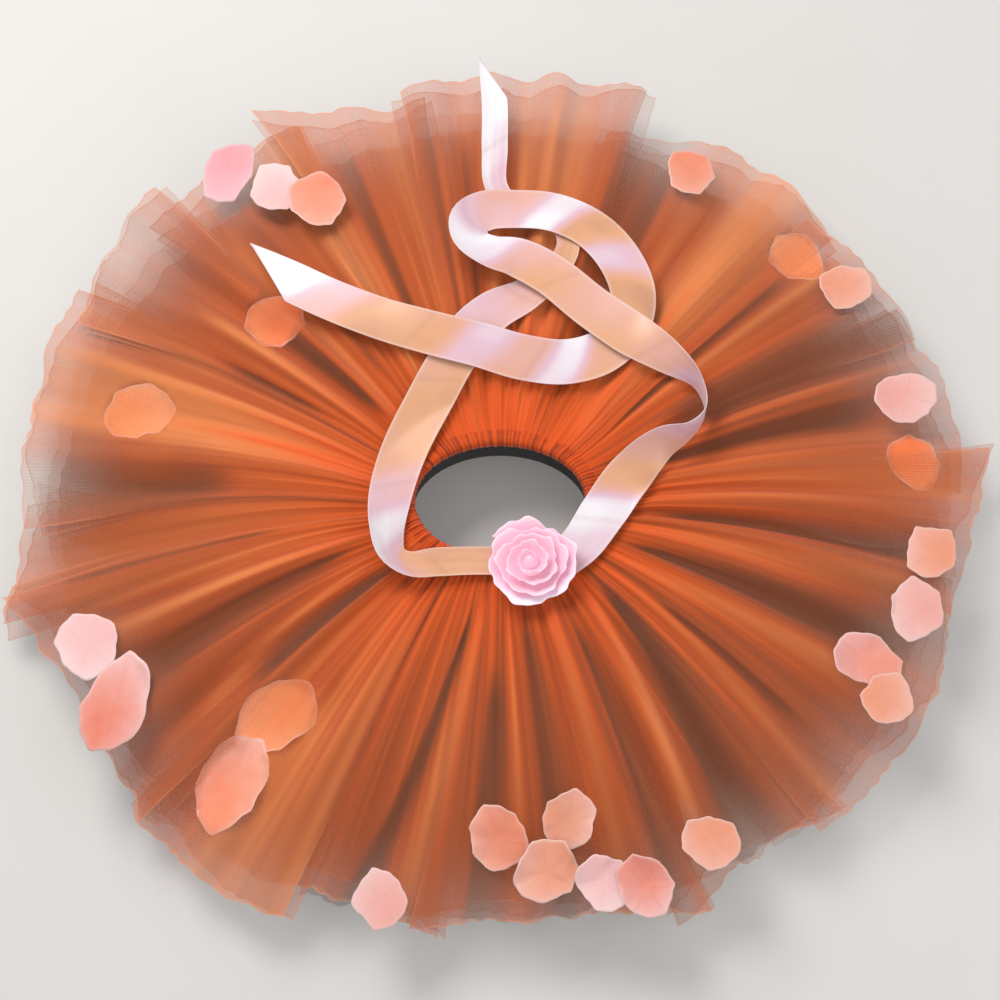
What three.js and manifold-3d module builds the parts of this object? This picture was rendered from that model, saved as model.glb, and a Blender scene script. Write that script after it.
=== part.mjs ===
// A baby's tulle skirt laid open on a flat surface, in millimetres, +Z up.
// Strips of tulle are gathered round an elastic waistband and fan out in three layers.
// Two satin ties lie loose on top, a ribbon rosette sits at the front of the waist and
// silk petals are strewn on and between the layers.
import * as THREE from "three";
import { mergeVertices } from "three/addons/utils/BufferGeometryUtils.js";
import Module from "manifold-3d";

const wasm = await Module();
wasm.setup();

// Driving sizes
const waistHalfWidth = 53;
const waistHalfDepth = 39;
const skirtRadius = 262;
const tulleWall = 1.5;
const satinWall = 1.0;
const petalWall = 1.0;
const seamGap = 0.35;
const ribbonWidth = 25.4;
const ribbonStep = 8;
const bandHalfWidth = 48.2;
const bandHalfDepth = 34.2;
const bandThickness = 1.4;
const bandBottom = 26;
const bandTop = 46.1;
const gatherCount = 48;
const gatherDepth = 0.6;
const headingCrest = 50.2;
const topPleats = 36;
const middlePleats = 20;
const rosetteBase = 52.4;

const tulleFinish = { color: 0xe8662c, roughness: 0.85, metalness: 0 };
const innerTulleFinish = { color: 0xdd5a22, roughness: 0.85, metalness: 0 };
const satinFinish = { color: 0xefc0b8, roughness: 0.3, metalness: 0 };
const rosetteFinish = { color: 0xf2a6b6, roughness: 0.4, metalness: 0 };
const petalFinish = { color: 0xefa096, roughness: 0.6, metalness: 0 };
const elasticFinish = { color: 0x141212, roughness: 0.9, metalness: 0 };

// A short table: the names of its columns, then its rows
function table(columns, rows) {
  const names = columns.split(" ");
  return rows.map((row) => Object.fromEntries(names.map((name, i) => [name, row[i]])));
}

// Heights of each layer's underside from the waist (reach 0) to the full hem (reach 1),
// the half height of its pleats, and how far a strip's edges fan over or under its neighbours
const topRows = table("reach height pleat fan", [
  [0, 41, 0.5, 0.95],
  [0.08, 46.5, 1.0, 0.95],
  [0.2, 52, 1.8, 1.0],
  [0.4, 54, 3.2, 1.2],
  [0.62, 46, 4.5, 1.5],
  [0.82, 33, 5.0, 2.0],
  [1, 20, 5.0, 2.3],
]);
const middleRows = table("reach height pleat fan", [
  [0, 36.2, 0.2, 0.95],
  [0.2, 40.5, 0.7, 0.95],
  [0.45, 34, 1.2, 0.95],
  [0.8, 16.5, 1.3, 0.95],
  [1, 6, 1.25, 0.95],
]);
const baseRows = table("reach height pleat fan", [
  [0, 32.4, 0, 0],
  [0.1, 32, 0, 0],
  [0.2, 27, 0, 0],
  [0.4, 12, 0, 0],
  [0.62, 0, 0, 0],
  [1, 0, 0, 0],
]);

// The far side of the hem stands higher than the near side
const farLift = { mean: 3.5, swing: 5.5, from: 0.4 };

// Strips of the top layer, counterclockwise from the right: first and last column of 1.875
// degrees, hem radius at the start, middle and end, and whether its end lies over the next strip
const topColumns = 192;
const topStrips = table("from to startHem midHem endHem over", [
  [-6, 3, 254, 260, 273, 1],
  [3, 14, 259, 261, 258, -1],
  [14, 23, 258, 256, 253, 1],
  [23, 39, 258, 262, 243, -1],
  [39, 54, 277, 274, 271, 1],
  [54, 63, 262, 267, 286, 1],
  [63, 73, 271, 270, 269, -1],
  [73, 81, 285, 277, 268, 1],
  [81, 96, 279, 271, 264, 1],
  [96, 102, 263, 268, 276, -1],
  [102, 118, 272, 251, 255, 1],
  [118, 129, 258, 257, 254, 1],
  [129, 139, 236, 232, 237, -1],
  [139, 157, 236, 229, 244, 1],
  [157, 168, 244, 235, 243, -1],
  [168, 186, 247, 256, 252, 1],
]);

// Sheets of the middle and bottom layers, with columns of 5.625 and 10 degrees
const middleColumns = 64;
const middleSheets = table("from to startHem midHem endHem over", [
  [0, 8, 252, 248, 250, 1],
  [8, 16, 249, 254, 258, -1],
  [16, 24, 256, 262, 258, 1],
  [24, 32, 262, 258, 252, 1],
  [32, 40, 254, 240, 245, -1],
  [40, 48, 246, 228, 222, 1],
  [48, 56, 222, 226, 236, -1],
  [56, 64, 238, 244, 250, 1],
]);
const baseColumns = 36;
const baseSheets = table("from to startHem midHem endHem", [
  [0, 6, 246, 244, 244],
  [6, 12, 246, 252, 250],
  [12, 18, 252, 252, 248],
  [18, 24, 247, 238, 236],
  [24, 30, 234, 222, 226],
  [30, 36, 228, 236, 244],
]);

// Satin ties: where the middle of the ribbon lies, how far it is lifted off the tulle, how
// wide it lies there, and how far its left edge is rolled up, in degrees
const leftTie = table("x y lift width roll", [
  [-2, -38, 0, 16, 0],
  [-16, -39, 0, 16, 0],
  [-34, -41, 0, 17, 6],
  [-50, -43, 0, 18, 24],
  [-61, -37, 0, 20, 40],
  [-65, -22, 0, 23, 34],
  [-62, 2, 0, ribbonWidth, 8],
  [-53, 28, 0, ribbonWidth, 0],
  [-40, 54, 0, ribbonWidth, 0],
  [-28, 77, 0, ribbonWidth, 0],
  [-16, 96, 0, ribbonWidth, 0],
  [-3, 108, 0, 24, 0],
  [14, 117, 0, 20, 0],
  [29, 130, 0, 15, 0],
  [38, 148, 0, 13, 0],
  [36, 164, 0, 12, 0],
  [24, 174, 0, 12, 0],
  [7, 180, 0, 12, 0],
  [-3, 192, 0, 13, 0],
  [-3, 215, 0, 15, 0],
  [-3, 245, 0, 15, 0],
  [-5, 278, 0, 15, 0],
]);
const rightTie = table("x y lift width roll", [
  [32, -38, 0, 20, 0],
  [44, -27, 0, 23, 0],
  [56, -9, 0, ribbonWidth, 0],
  [71, 12, 0, ribbonWidth, 0],
  [89, 25, 0, 24, 14],
  [103, 31, 0, 23, 48],
  [111, 42, 0, 23, 84],
  [106, 60, 0.6, 24, 136],
  [92, 76, 1.8, ribbonWidth, 170],
  [72, 92, 2.8, ribbonWidth, 180],
  [50, 109, 2.8, ribbonWidth, 180],
  [28, 127, 2.8, ribbonWidth, 180],
  [10, 135, 2.8, ribbonWidth, 184],
  [-6, 135, 2.8, 24, 200],
  [-18, 145, 2.8, 23, 208],
  [-18, 162, 2.8, 23, 202],
  [-7, 174, 2.8, 24, 186],
  [12, 178, 2.8, ribbonWidth, 180],
  [30, 177, 2.8, ribbonWidth, 180],
  [51, 168, 1.6, ribbonWidth, 180],
  [68, 149, 0.4, ribbonWidth, 180],
  [76, 124, 0, ribbonWidth, 180],
  [72, 101, 0, 24, 180],
  [58, 85, 0, ribbonWidth, 180],
  [38, 78, 0, ribbonWidth, 180],
  [14, 80, 1.2, ribbonWidth, 180],
  [-12, 87, 2.8, ribbonWidth, 180],
  [-39, 94, 2.4, ribbonWidth, 180],
  [-67, 103, 0.6, ribbonWidth, 180],
  [-95, 115, 0, ribbonWidth, 180],
  [-119, 128, 0, ribbonWidth, 180],
  [-147, 143, 0, ribbonWidth, 180],
]);
const tieCut = 26;

// Petals: where each lies, its size, which way it points in degrees, and its layer
const petals = table("x y size turn layer", [
  [-156, 203, 31, 200, "top"],
  [-128, 192, 32, 20, "top"],
  [-104, 179, 29, 300, "top"],
  [109, 202, 30, 80, "top"],
  [195, 130, 30, 10, "top"],
  [225, 62, 31, 160, "top"],
  [234, -29, 32, 45, "top"],
  [224, -62, 31, 280, "top"],
  [196, -91, 30, 150, "top"],
  [206, -112, 28, 330, "top"],
  [110, -190, 30, 60, "top"],
  [36, -180, 30, 100, "top"],
  [-1, -189, 32, 210, "top"],
  [24, -206, 33, 20, "top"],
  [54, -212, 30, 340, "top"],
  [75, -214, 29, 190, "top"],
  [-62, -220, 29, 260, "top"],
  [-221, -82, 36, 170, "top"],
  [-206, -118, 36, 240, "top"],
  [232, 34, 32, 30, "middle"],
  [166, 158, 34, 120, "middle"],
  [-128, 108, 33, 80, "middle"],
  [-118, -118, 36, 300, "middle"],
  [-140, -142, 34, 200, "middle"],
  [-205, 58, 34, 10, "middle"],
]);
const petalSides = 12;

const degrees = Math.PI / 180;
const mix = (a, b, share) => a + (b - a) * share;
const clamp = THREE.MathUtils.clamp;

// Plan of the skirt: ellipses that turn from the waist's oval into the hem's circle

function planPoint(reach, turn) {
  return [
    mix(waistHalfWidth, skirtRadius, reach) * Math.cos(turn),
    mix(waistHalfDepth, skirtRadius, reach) * Math.sin(turn),
  ];
}

function planPlace(x, y) {
  let low = -0.12;
  let high = 1.3;
  for (let i = 0; i < 36; i += 1) {
    const reach = (low + high) / 2;
    const across = x / mix(waistHalfWidth, skirtRadius, reach);
    const along = y / mix(waistHalfDepth, skirtRadius, reach);
    if (across * across + along * along > 1) low = reach;
    else high = reach;
  }
  const across = x / mix(waistHalfWidth, skirtRadius, low);
  const along = y / mix(waistHalfDepth, skirtRadius, low);
  return { reach: low, turn: Math.atan2(along, across) };
}

function reachOfHem(radius, turn) {
  const waist = Math.hypot(waistHalfWidth * Math.cos(turn), waistHalfDepth * Math.sin(turn));
  return (radius - waist) / (skirtRadius - waist);
}

// Value of one column of a row table at a reach, running straight on past the last row
function alongRows(rows, name, reach) {
  let i = 0;
  while (i < rows.length - 2 && reach > rows[i + 1].reach) i += 1;
  const share = (reach - rows[i].reach) / (rows[i + 1].reach - rows[i].reach);
  return mix(rows[i][name], rows[i + 1][name], Math.max(share, 0));
}

// Uneven pleats: their spacing drifts round the waist, and so does their depth
const pleatDepth = (turn) => 0.78 + 0.22 * Math.sin(5 * turn + 1);
const pleatPhase = (turn) => 1.4 * Math.sin(3 * turn + 0.6) + 0.9 * Math.sin(7 * turn + 2.1);
const pleatWave = (turn, count) => pleatDepth(turn) * Math.cos(count * turn + pleatPhase(turn));

function liftAt(turn, reach) {
  const share = Math.max(0, (reach - farLift.from) / (1 - farLift.from));
  return (farLift.mean + farLift.swing * Math.sin(turn)) * share;
}

const layers = {
  top: { rows: topRows, strips: topStrips, columns: topColumns, pleats: topPleats, lift: 1 },
  middle: { rows: middleRows, strips: middleSheets, columns: middleColumns, pleats: middlePleats, lift: 0.3 },
  base: { rows: baseRows, strips: baseSheets, columns: baseColumns, pleats: 0, lift: 0 },
};
const columnTurn = (layer, column) => (column * 2 * Math.PI) / layer.columns;

// Height of a layer's underside on one of its columns, before its strips fan over each other
function columnHeight(layer, column, reach) {
  const turn = columnTurn(layer, column);
  const pleat = alongRows(layer.rows, "pleat", reach) * pleatWave(turn, layer.pleats);
  return alongRows(layer.rows, "height", reach) + pleat + layer.lift * liftAt(turn, reach);
}

// How far over (1) or under (-1) its neighbours a strip lies, flat where two strips overlap
function fanSide(layer, index, column) {
  const strip = layer.strips[index];
  const before = layer.strips[(index + layer.strips.length - 1) % layer.strips.length];
  const share = clamp((column - strip.from - 1) / (strip.to - strip.from - 2), 0, 1);
  return mix(-before.over, strip.over, share);
}

// The highest cloth surface of a layer over a point of the plan
function surfaceAt(layer, x, y) {
  const { reach, turn } = planPlace(x, y);
  const column = (turn * layer.columns) / (2 * Math.PI);
  const before = Math.floor(column);
  const height = mix(
    columnHeight(layer, before, reach),
    columnHeight(layer, before + 1, reach),
    column - before,
  );
  let side = -1;
  layer.strips.forEach((strip, index) => {
    const start = strip.from - 1;
    const local = start + ((((column - start) % layer.columns) + layer.columns) % layer.columns);
    if (local <= strip.to + 1) side = Math.max(side, fanSide(layer, index, local));
  });
  return height + side * alongRows(layer.rows, "fan", reach) + tulleWall;
}

// A smooth surface just over the pleats' crests, which the ties lie on
function crestAt(x, y) {
  const { reach, turn } = planPlace(x, y);
  const crest =
    alongRows(topRows, "height", reach) +
    alongRows(topRows, "pleat", reach) * pleatDepth(turn) +
    alongRows(topRows, "fan", reach) +
    liftAt(turn, reach) +
    tulleWall;
  return Math.max(crest, headingCrest + 0.8 - 8 * Math.max(0, reach));
}

// Closed solids

function meshFrom(name, positions, faces, finish) {
  const geometry = new THREE.BufferGeometry();
  geometry.setAttribute("position", new THREE.Float32BufferAttribute(positions, 3));
  geometry.setIndex(signedVolume(positions, faces) < 0 ? faces.reverse() : faces);
  geometry.computeVertexNormals();
  const mesh = new THREE.Mesh(geometry, new THREE.MeshStandardMaterial(finish));
  mesh.name = name;
  return mesh;
}

function signedVolume(positions, faces) {
  const corner = (i) => new THREE.Vector3().fromArray(positions, 3 * i);
  let volume = 0;
  for (let i = 0; i < faces.length; i += 3) {
    volume += corner(faces[i]).dot(corner(faces[i + 1]).cross(corner(faces[i + 2])));
  }
  return volume;
}

// A cloth wall between two like grids of points; wrapped walls join their last column to the first
function wallFaces(rows, columns, wrapped) {
  const faces = [];
  const quad = (a, b, c, d) => faces.push(a, b, c, a, c, d);
  const low = (i, j) => i * columns + (j % columns);
  const high = (i, j) => rows * columns + low(i, j);
  const spans = wrapped ? columns : columns - 1;
  for (let j = 0; j < spans; j += 1) {
    for (let i = 0; i < rows - 1; i += 1) {
      quad(high(i, j), high(i + 1, j), high(i + 1, j + 1), high(i, j + 1));
      quad(low(i, j), low(i, j + 1), low(i + 1, j + 1), low(i + 1, j));
    }
    quad(high(0, j), high(0, j + 1), low(0, j + 1), low(0, j));
    quad(high(rows - 1, j + 1), high(rows - 1, j), low(rows - 1, j), low(rows - 1, j + 1));
  }
  if (wrapped) return faces;
  for (let i = 0; i < rows - 1; i += 1) {
    quad(high(i + 1, 0), high(i, 0), low(i, 0), low(i + 1, 0));
    quad(high(i, spans), high(i + 1, spans), low(i + 1, spans), low(i, spans));
  }
  return faces;
}

function clothWall(name, lower, upper, finish, wrapped = false) {
  const positions = [...lower.flat(2), ...upper.flat(2)];
  return meshFrom(name, positions, wallFaces(lower.length, lower[0].length, wrapped), finish);
}

// A closed outline carried round a closed loop
function loopSolid(name, outlines, finish) {
  const count = outlines.length;
  const sides = outlines[0].length;
  const faces = [];
  for (let i = 0; i < count; i += 1) {
    for (let j = 0; j < sides; j += 1) {
      const here = i * sides;
      const next = ((i + 1) % count) * sides;
      const after = (j + 1) % sides;
      faces.push(here + j, next + j, next + after, here + j, next + after, here + after);
    }
  }
  return meshFrom(name, outlines.flat(2), faces, finish);
}

// Tulle strips

function stripMesh(name, layer, index, overlap, finish) {
  const strip = layer.strips[index];
  const hemBulge = strip.midHem - (strip.startHem + strip.endHem) / 2;
  const lower = layer.rows.map(() => []);
  for (let column = strip.from - overlap; column <= strip.to + overlap; column += 1) {
    const edge = overlap ? 0 : seamGap / 2;
    const share = (column - strip.from) / (strip.to - strip.from);
    const hem = mix(strip.startHem, strip.endHem, share) + hemBulge * 4 * share * (1 - share);
    const turn = columnTurn(layer, column);
    const side = overlap ? fanSide(layer, index, column) : 0;
    layer.rows.forEach((row, i) => {
      const reach = i < layer.rows.length - 1 ? row.reach : reachOfHem(hem, turn);
      let [x, y] = planPoint(reach, turn);
      if (edge && (share === 0 || share === 1)) {
        const shift = share === 0 ? edge : -edge;
        x -= shift * Math.sin(turn);
        y += shift * Math.cos(turn);
      }
      const fan = side * alongRows(layer.rows, "fan", reach);
      lower[i].push([x, y, columnHeight(layer, column, reach) + fan]);
    });
  }
  const upper = lower.map((row) => row.map(([x, y, z]) => [x, y, z + tulleWall]));
  return clothWall(name, lower, upper, finish);
}

function layerMeshes(prefix, layer, overlap, finish) {
  return layer.strips.map((strip, index) => {
    const number = String(index + 1).padStart(2, "0");
    return stripMesh(`${prefix}_${number}`, layer, index, overlap, finish);
  });
}

// Waistband: a flat elastic band, and the tulle's heading folded over it

function bandPoint(distance, turn, height) {
  return [
    (bandHalfWidth + distance) * Math.cos(turn),
    (bandHalfDepth + distance) * Math.sin(turn),
    height,
  ];
}

function elasticMesh() {
  const count = 64;
  const outlines = Array.from({ length: count }, (_, i) => {
    const turn = (i * 2 * Math.PI) / count;
    return [
      bandPoint(0, turn, bandBottom),
      bandPoint(bandThickness, turn, bandBottom),
      bandPoint(bandThickness, turn, bandTop),
      bandPoint(0, turn, bandTop),
    ];
  });
  return loopSolid("waist_elastic", outlines, elasticFinish);
}

// Section of the heading: distance out from the band's inner face, height, and share of the gathers
const headingSection = table("distance height gather", [
  [-1.6, 43.6, 1],
  [-seamGap, 43.6, 0],
  [-seamGap, bandTop + seamGap, 0],
  [bandThickness + seamGap, bandTop + seamGap, 0],
  [bandThickness + seamGap, 31, 0],
  [3.5, 31, 1],
  [3.7, 46.5, 1],
  [1.2, 49.5, 1],
  [-1.3, 48.2, 1],
]);

function headingMesh() {
  const count = 2 * gatherCount;
  const outlines = Array.from({ length: count }, (_, i) => {
    const turn = (i * 2 * Math.PI) / count;
    const gather = i % 2 ? gatherDepth : -gatherDepth;
    const outward = (row) => Math.sign(row.distance) * row.gather * gather;
    return headingSection.map((row) => bandPoint(row.distance + outward(row), turn, row.height));
  });
  return loopSolid("tulle_heading", outlines, tulleFinish);
}

// Satin ties

// Stations along a tie: the route is a smooth curve through the table's rows
function tieStations(route) {
  const curve = new THREE.CatmullRomCurve3(
    route.map((row) => new THREE.Vector3(row.x, row.y, row.lift)),
    false,
    "centripetal",
  );
  curve.arcLengthDivisions = 40 * route.length;
  const length = curve.getLength();
  const count = Math.round(length / ribbonStep);
  return Array.from({ length: count + 1 }, (_, i) => {
    const share = i / count;
    const position = curve.getUtoTmapping(share) * (route.length - 1);
    const before = Math.min(Math.floor(position), route.length - 2);
    const between = (name) => mix(route[before][name], route[before + 1][name], position - before);
    return {
      centre: curve.getPointAt(share),
      heading: curve.getTangentAt(share).setZ(0).normalize(),
      width: between("width"),
      roll: between("roll") * degrees,
      toEnd: length * (1 - share),
    };
  });
}

// Across a tie: side runs from 1 on its left edge to -1 on its right edge
function tiePoint(station, side) {
  const left = new THREE.Vector3(-station.heading.y, station.heading.x, 0);
  const half = station.width / 2;
  const reach = side * half * Math.cos(station.roll);
  const x = station.centre.x + left.x * reach;
  const y = station.centre.y + left.y * reach;
  const rise = half * (Math.abs(Math.sin(station.roll)) + side * Math.sin(station.roll));
  return new THREE.Vector3(x, y, crestAt(x, y) + seamGap + satinWall / 2 + station.centre.z + rise);
}

function tieMesh(name, route) {
  const stations = tieStations(route);
  const sides = stations.map((station) => {
    const cut = clamp(1 - station.toEnd / tieCut, 0, 0.94);
    return [1, -cut, -1].map((side, i) => (i === 1 ? cut : mix(side, 1, i === 2 ? cut : 0)));
  });
  const points = stations.map((station, i) => sides[i].map((side) => tiePoint(station, side)));
  const lower = [];
  const upper = [];
  points.forEach((row, i) => {
    const ahead = points[Math.min(i + 1, points.length - 1)][1];
    const behind = points[Math.max(i - 1, 0)][1];
    const forward = new THREE.Vector3().subVectors(ahead, behind);
    const across = new THREE.Vector3().subVectors(row[0], row[2]);
    const out = forward.cross(across).setLength(satinWall / 2);
    lower.push(row.map((point) => point.clone().sub(out).toArray()));
    upper.push(row.map((point) => point.clone().add(out).toArray()));
  });
  return clothWall(name, lower, upper, satinFinish);
}

// Rosette: ruffled rings of ribbon on a round base, with a bud in the middle

const rosettePlace = { x: 16, y: -41 };
const rosetteRings = table("foot rim footHeight rimHeight waves depth phase", [
  [11, 24, 0.9, 9, 9, 1.4, 0.3],
  [8, 17.5, 1.0, 14, 7, 1.3, 1.1],
  [5, 10.5, 1.0, 17, 5, 0.9, 2.0],
]);
const rosetteWall = 1.6;

function solidFrom(geometry) {
  geometry.deleteAttribute("normal");
  if (geometry.hasAttribute("uv")) geometry.deleteAttribute("uv");
  const merged = mergeVertices(geometry, 1e-4);
  const mesh = new wasm.Mesh({
    numProp: 3,
    vertProperties: new Float32Array(merged.attributes.position.array),
    triVerts: new Uint32Array(merged.index.array),
  });
  return new wasm.Manifold(mesh);
}

function rosetteRing(ring) {
  const count = 28;
  const shares = [0, 0.55, 1];
  const surface = (inset) =>
    shares.map((share) =>
      Array.from({ length: count }, (_, i) => {
        const turn = (i * 2 * Math.PI) / count;
        const wave = ring.depth * share * Math.sin(ring.waves * turn + ring.phase);
        const radius = mix(ring.foot, ring.rim, share ** 0.8) + wave - inset;
        const height = mix(ring.footHeight, ring.rimHeight, share ** 1.4) + wave * 0.5 + inset * 0.4;
        return [radius * Math.cos(turn), radius * Math.sin(turn), height];
      }),
    );
  return clothWall("ring", surface(0), surface(rosetteWall), rosetteFinish, true).geometry;
}

function rosetteMesh() {
  const base = new THREE.CylinderGeometry(13.5, 13.5, 2, 28);
  base.rotateX(Math.PI / 2).translate(0, 0, 1);
  const bud = new THREE.SphereGeometry(5.2, 14, 8);
  bud.rotateX(Math.PI / 2).scale(1, 1, 1.7).translate(0, 0, 9.4);
  let solid = solidFrom(base).add(solidFrom(bud));
  rosetteRings.forEach((ring) => {
    solid = solid.add(solidFrom(rosetteRing(ring)));
  });
  const result = solid.getMesh();
  const positions = [];
  for (let i = 0; i < result.vertProperties.length; i += 3) {
    positions.push(
      result.vertProperties[i] + rosettePlace.x,
      result.vertProperties[i + 1] + rosettePlace.y,
      result.vertProperties[i + 2] + rosetteBase,
    );
  }
  return meshFrom("rosette", positions, Array.from(result.triVerts), rosetteFinish);
}

// Petals: a cupped disc, notched at its tip and narrower at its foot

function petalRim(petal, i) {
  const turn = (i * 2 * Math.PI) / petalSides;
  const notch = i === 0 ? 0.16 : 0;
  const radius = (petal.size / 2) * (1 + 0.06 * Math.cos(turn) - notch);
  const aim = turn + petal.turn * degrees;
  return {
    x: petal.x + radius * Math.cos(aim),
    y: petal.y + radius * Math.sin(aim),
    cup: 1.8 + 0.9 * Math.cos(2 * turn + petal.turn),
  };
}

// The slope a petal lies on, without the pleats
function slopeAt(layer, x, y) {
  const { reach, turn } = planPlace(x, y);
  return alongRows(layer.rows, "height", reach) + layer.lift * liftAt(turn, reach);
}

// Height of a laid petal's upper face over a point of the plan, if the point is on it
function onPetal(points, x, y) {
  const [top, ...rim] = points;
  for (let i = 0; i < petalSides; i += 1) {
    const a = rim[i];
    const b = rim[(i + 1) % petalSides];
    const area = (a[0] - top[0]) * (b[1] - top[1]) - (b[0] - top[0]) * (a[1] - top[1]);
    const toA = ((x - top[0]) * (b[1] - top[1]) - (b[0] - top[0]) * (y - top[1])) / area;
    const toB = ((a[0] - top[0]) * (y - top[1]) - (x - top[0]) * (a[1] - top[1])) / area;
    if (toA >= 0 && toB >= 0 && toA + toB <= 1) {
      return mix(top[2], a[2], toA) + (b[2] - top[2]) * toB + petalWall;
    }
  }
  return -Infinity;
}

const laidPetals = { top: [], middle: [] };

// A petal rests on the cloth under it and on any petal laid before it
function petalMesh(name, petal) {
  const layer = layers[petal.layer];
  const under = (x, y) =>
    Math.max(surfaceAt(layer, x, y), ...laidPetals[petal.layer].map((laid) => onPetal(laid, x, y)));
  const rim = Array.from({ length: petalSides }, (_, i) => petalRim(petal, i));
  const outline = [{ x: petal.x, y: petal.y, cup: 0 }, ...rim];
  const points = outline.map(({ x, y, cup }) => [x, y, slopeAt(layer, x, y) + cup]);
  let clear = 0;
  const steps = 6;
  for (let i = 1; i <= petalSides; i += 1) {
    const next = (i % petalSides) + 1;
    for (let a = 0; a <= steps; a += 1) {
      for (let b = 0; a + b <= steps; b += 1) {
        const weights = [steps - a - b, a, b].map((share) => share / steps);
        const corners = [points[0], points[i], points[next]];
        const at = (k) => weights.reduce((sum, weight, c) => sum + weight * corners[c][k], 0);
        clear = Math.max(clear, under(at(0), at(1)) - at(2));
      }
    }
  }
  points.forEach((point) => {
    point[2] += clear + seamGap;
  });
  laidPetals[petal.layer].push(points);
  const upperPoints = points.map(([x, y, z]) => [x, y, z + petalWall]);
  const positions = [...points.flat(), ...upperPoints.flat()];
  const faces = [];
  const upper = petalSides + 1;
  for (let i = 1; i <= petalSides; i += 1) {
    const next = (i % petalSides) + 1;
    faces.push(0, next, i, upper, upper + i, upper + next);
    faces.push(i, next, upper + next, i, upper + next, upper + i);
  }
  return meshFrom(name, positions, faces, petalFinish);
}

// The whole skirt, standing on Z = 0 with the middle of its outline over the origin

const skirt = new THREE.Group();
skirt.add(elasticMesh(), headingMesh());
skirt.add(...layerMeshes("tulle_top", layers.top, 1, tulleFinish));
skirt.add(...layerMeshes("tulle_middle", layers.middle, 1, innerTulleFinish));
skirt.add(...layerMeshes("tulle_base", layers.base, 0, innerTulleFinish));
skirt.add(tieMesh("ribbon_left", leftTie), tieMesh("ribbon_right", rightTie));
skirt.add(rosetteMesh());
petals.forEach((petal, i) => skirt.add(petalMesh(`petal_${String(i + 1).padStart(2, "0")}`, petal)));

const outline = new THREE.Box3().setFromObject(skirt);
const middle = outline.getCenter(new THREE.Vector3());
skirt.position.set(-middle.x, -middle.y, -outline.min.z);
skirt.updateMatrixWorld(true);

export default skirt;
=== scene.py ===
# A baby's tulle skirt laid open on a pale floor: gathered strips of tulle round an elastic
# waistband, two loose satin ties, a ribbon rosette and strewn silk petals.
import math

import bmesh
import bpy
import numpy as np
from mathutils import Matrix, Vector


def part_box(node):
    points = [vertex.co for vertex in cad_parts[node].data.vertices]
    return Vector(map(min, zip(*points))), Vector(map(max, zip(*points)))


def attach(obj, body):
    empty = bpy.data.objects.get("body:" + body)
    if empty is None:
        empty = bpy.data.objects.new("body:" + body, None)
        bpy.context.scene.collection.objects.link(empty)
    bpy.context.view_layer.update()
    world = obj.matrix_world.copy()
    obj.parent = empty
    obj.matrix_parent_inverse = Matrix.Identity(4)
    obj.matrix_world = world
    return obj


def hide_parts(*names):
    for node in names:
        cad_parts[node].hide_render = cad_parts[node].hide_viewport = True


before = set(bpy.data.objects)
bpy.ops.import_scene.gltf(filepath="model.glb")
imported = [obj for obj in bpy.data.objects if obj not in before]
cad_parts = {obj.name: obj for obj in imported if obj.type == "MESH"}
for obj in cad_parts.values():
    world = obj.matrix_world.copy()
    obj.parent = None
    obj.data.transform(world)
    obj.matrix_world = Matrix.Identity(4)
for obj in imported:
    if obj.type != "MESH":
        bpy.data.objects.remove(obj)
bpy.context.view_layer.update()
print("frame loaded:", len(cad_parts), "nodes")

# The skirt's own axes start under the middle of the waist; everything below is in millimetres there
toMetres = 0.001
bandLow, bandHigh = (np.array(corner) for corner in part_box("waist_elastic"))
waistPlace = (bandLow + bandHigh) / 2 * (1, 1, 0)


# Plan of the skirt and the heights of its layers

skirtPlan = {
    "waistHalfWidth": 53,
    "waistHalfDepth": 39,
    "radius": 262,
    "tulleWall": 1.5,
    "farLiftMean": 3.5,
    "farLiftSwing": 5.5,
    "farLiftFrom": 0.4,
    "headingCrest": 51.0,
    "crestFall": 8,
}

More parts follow.
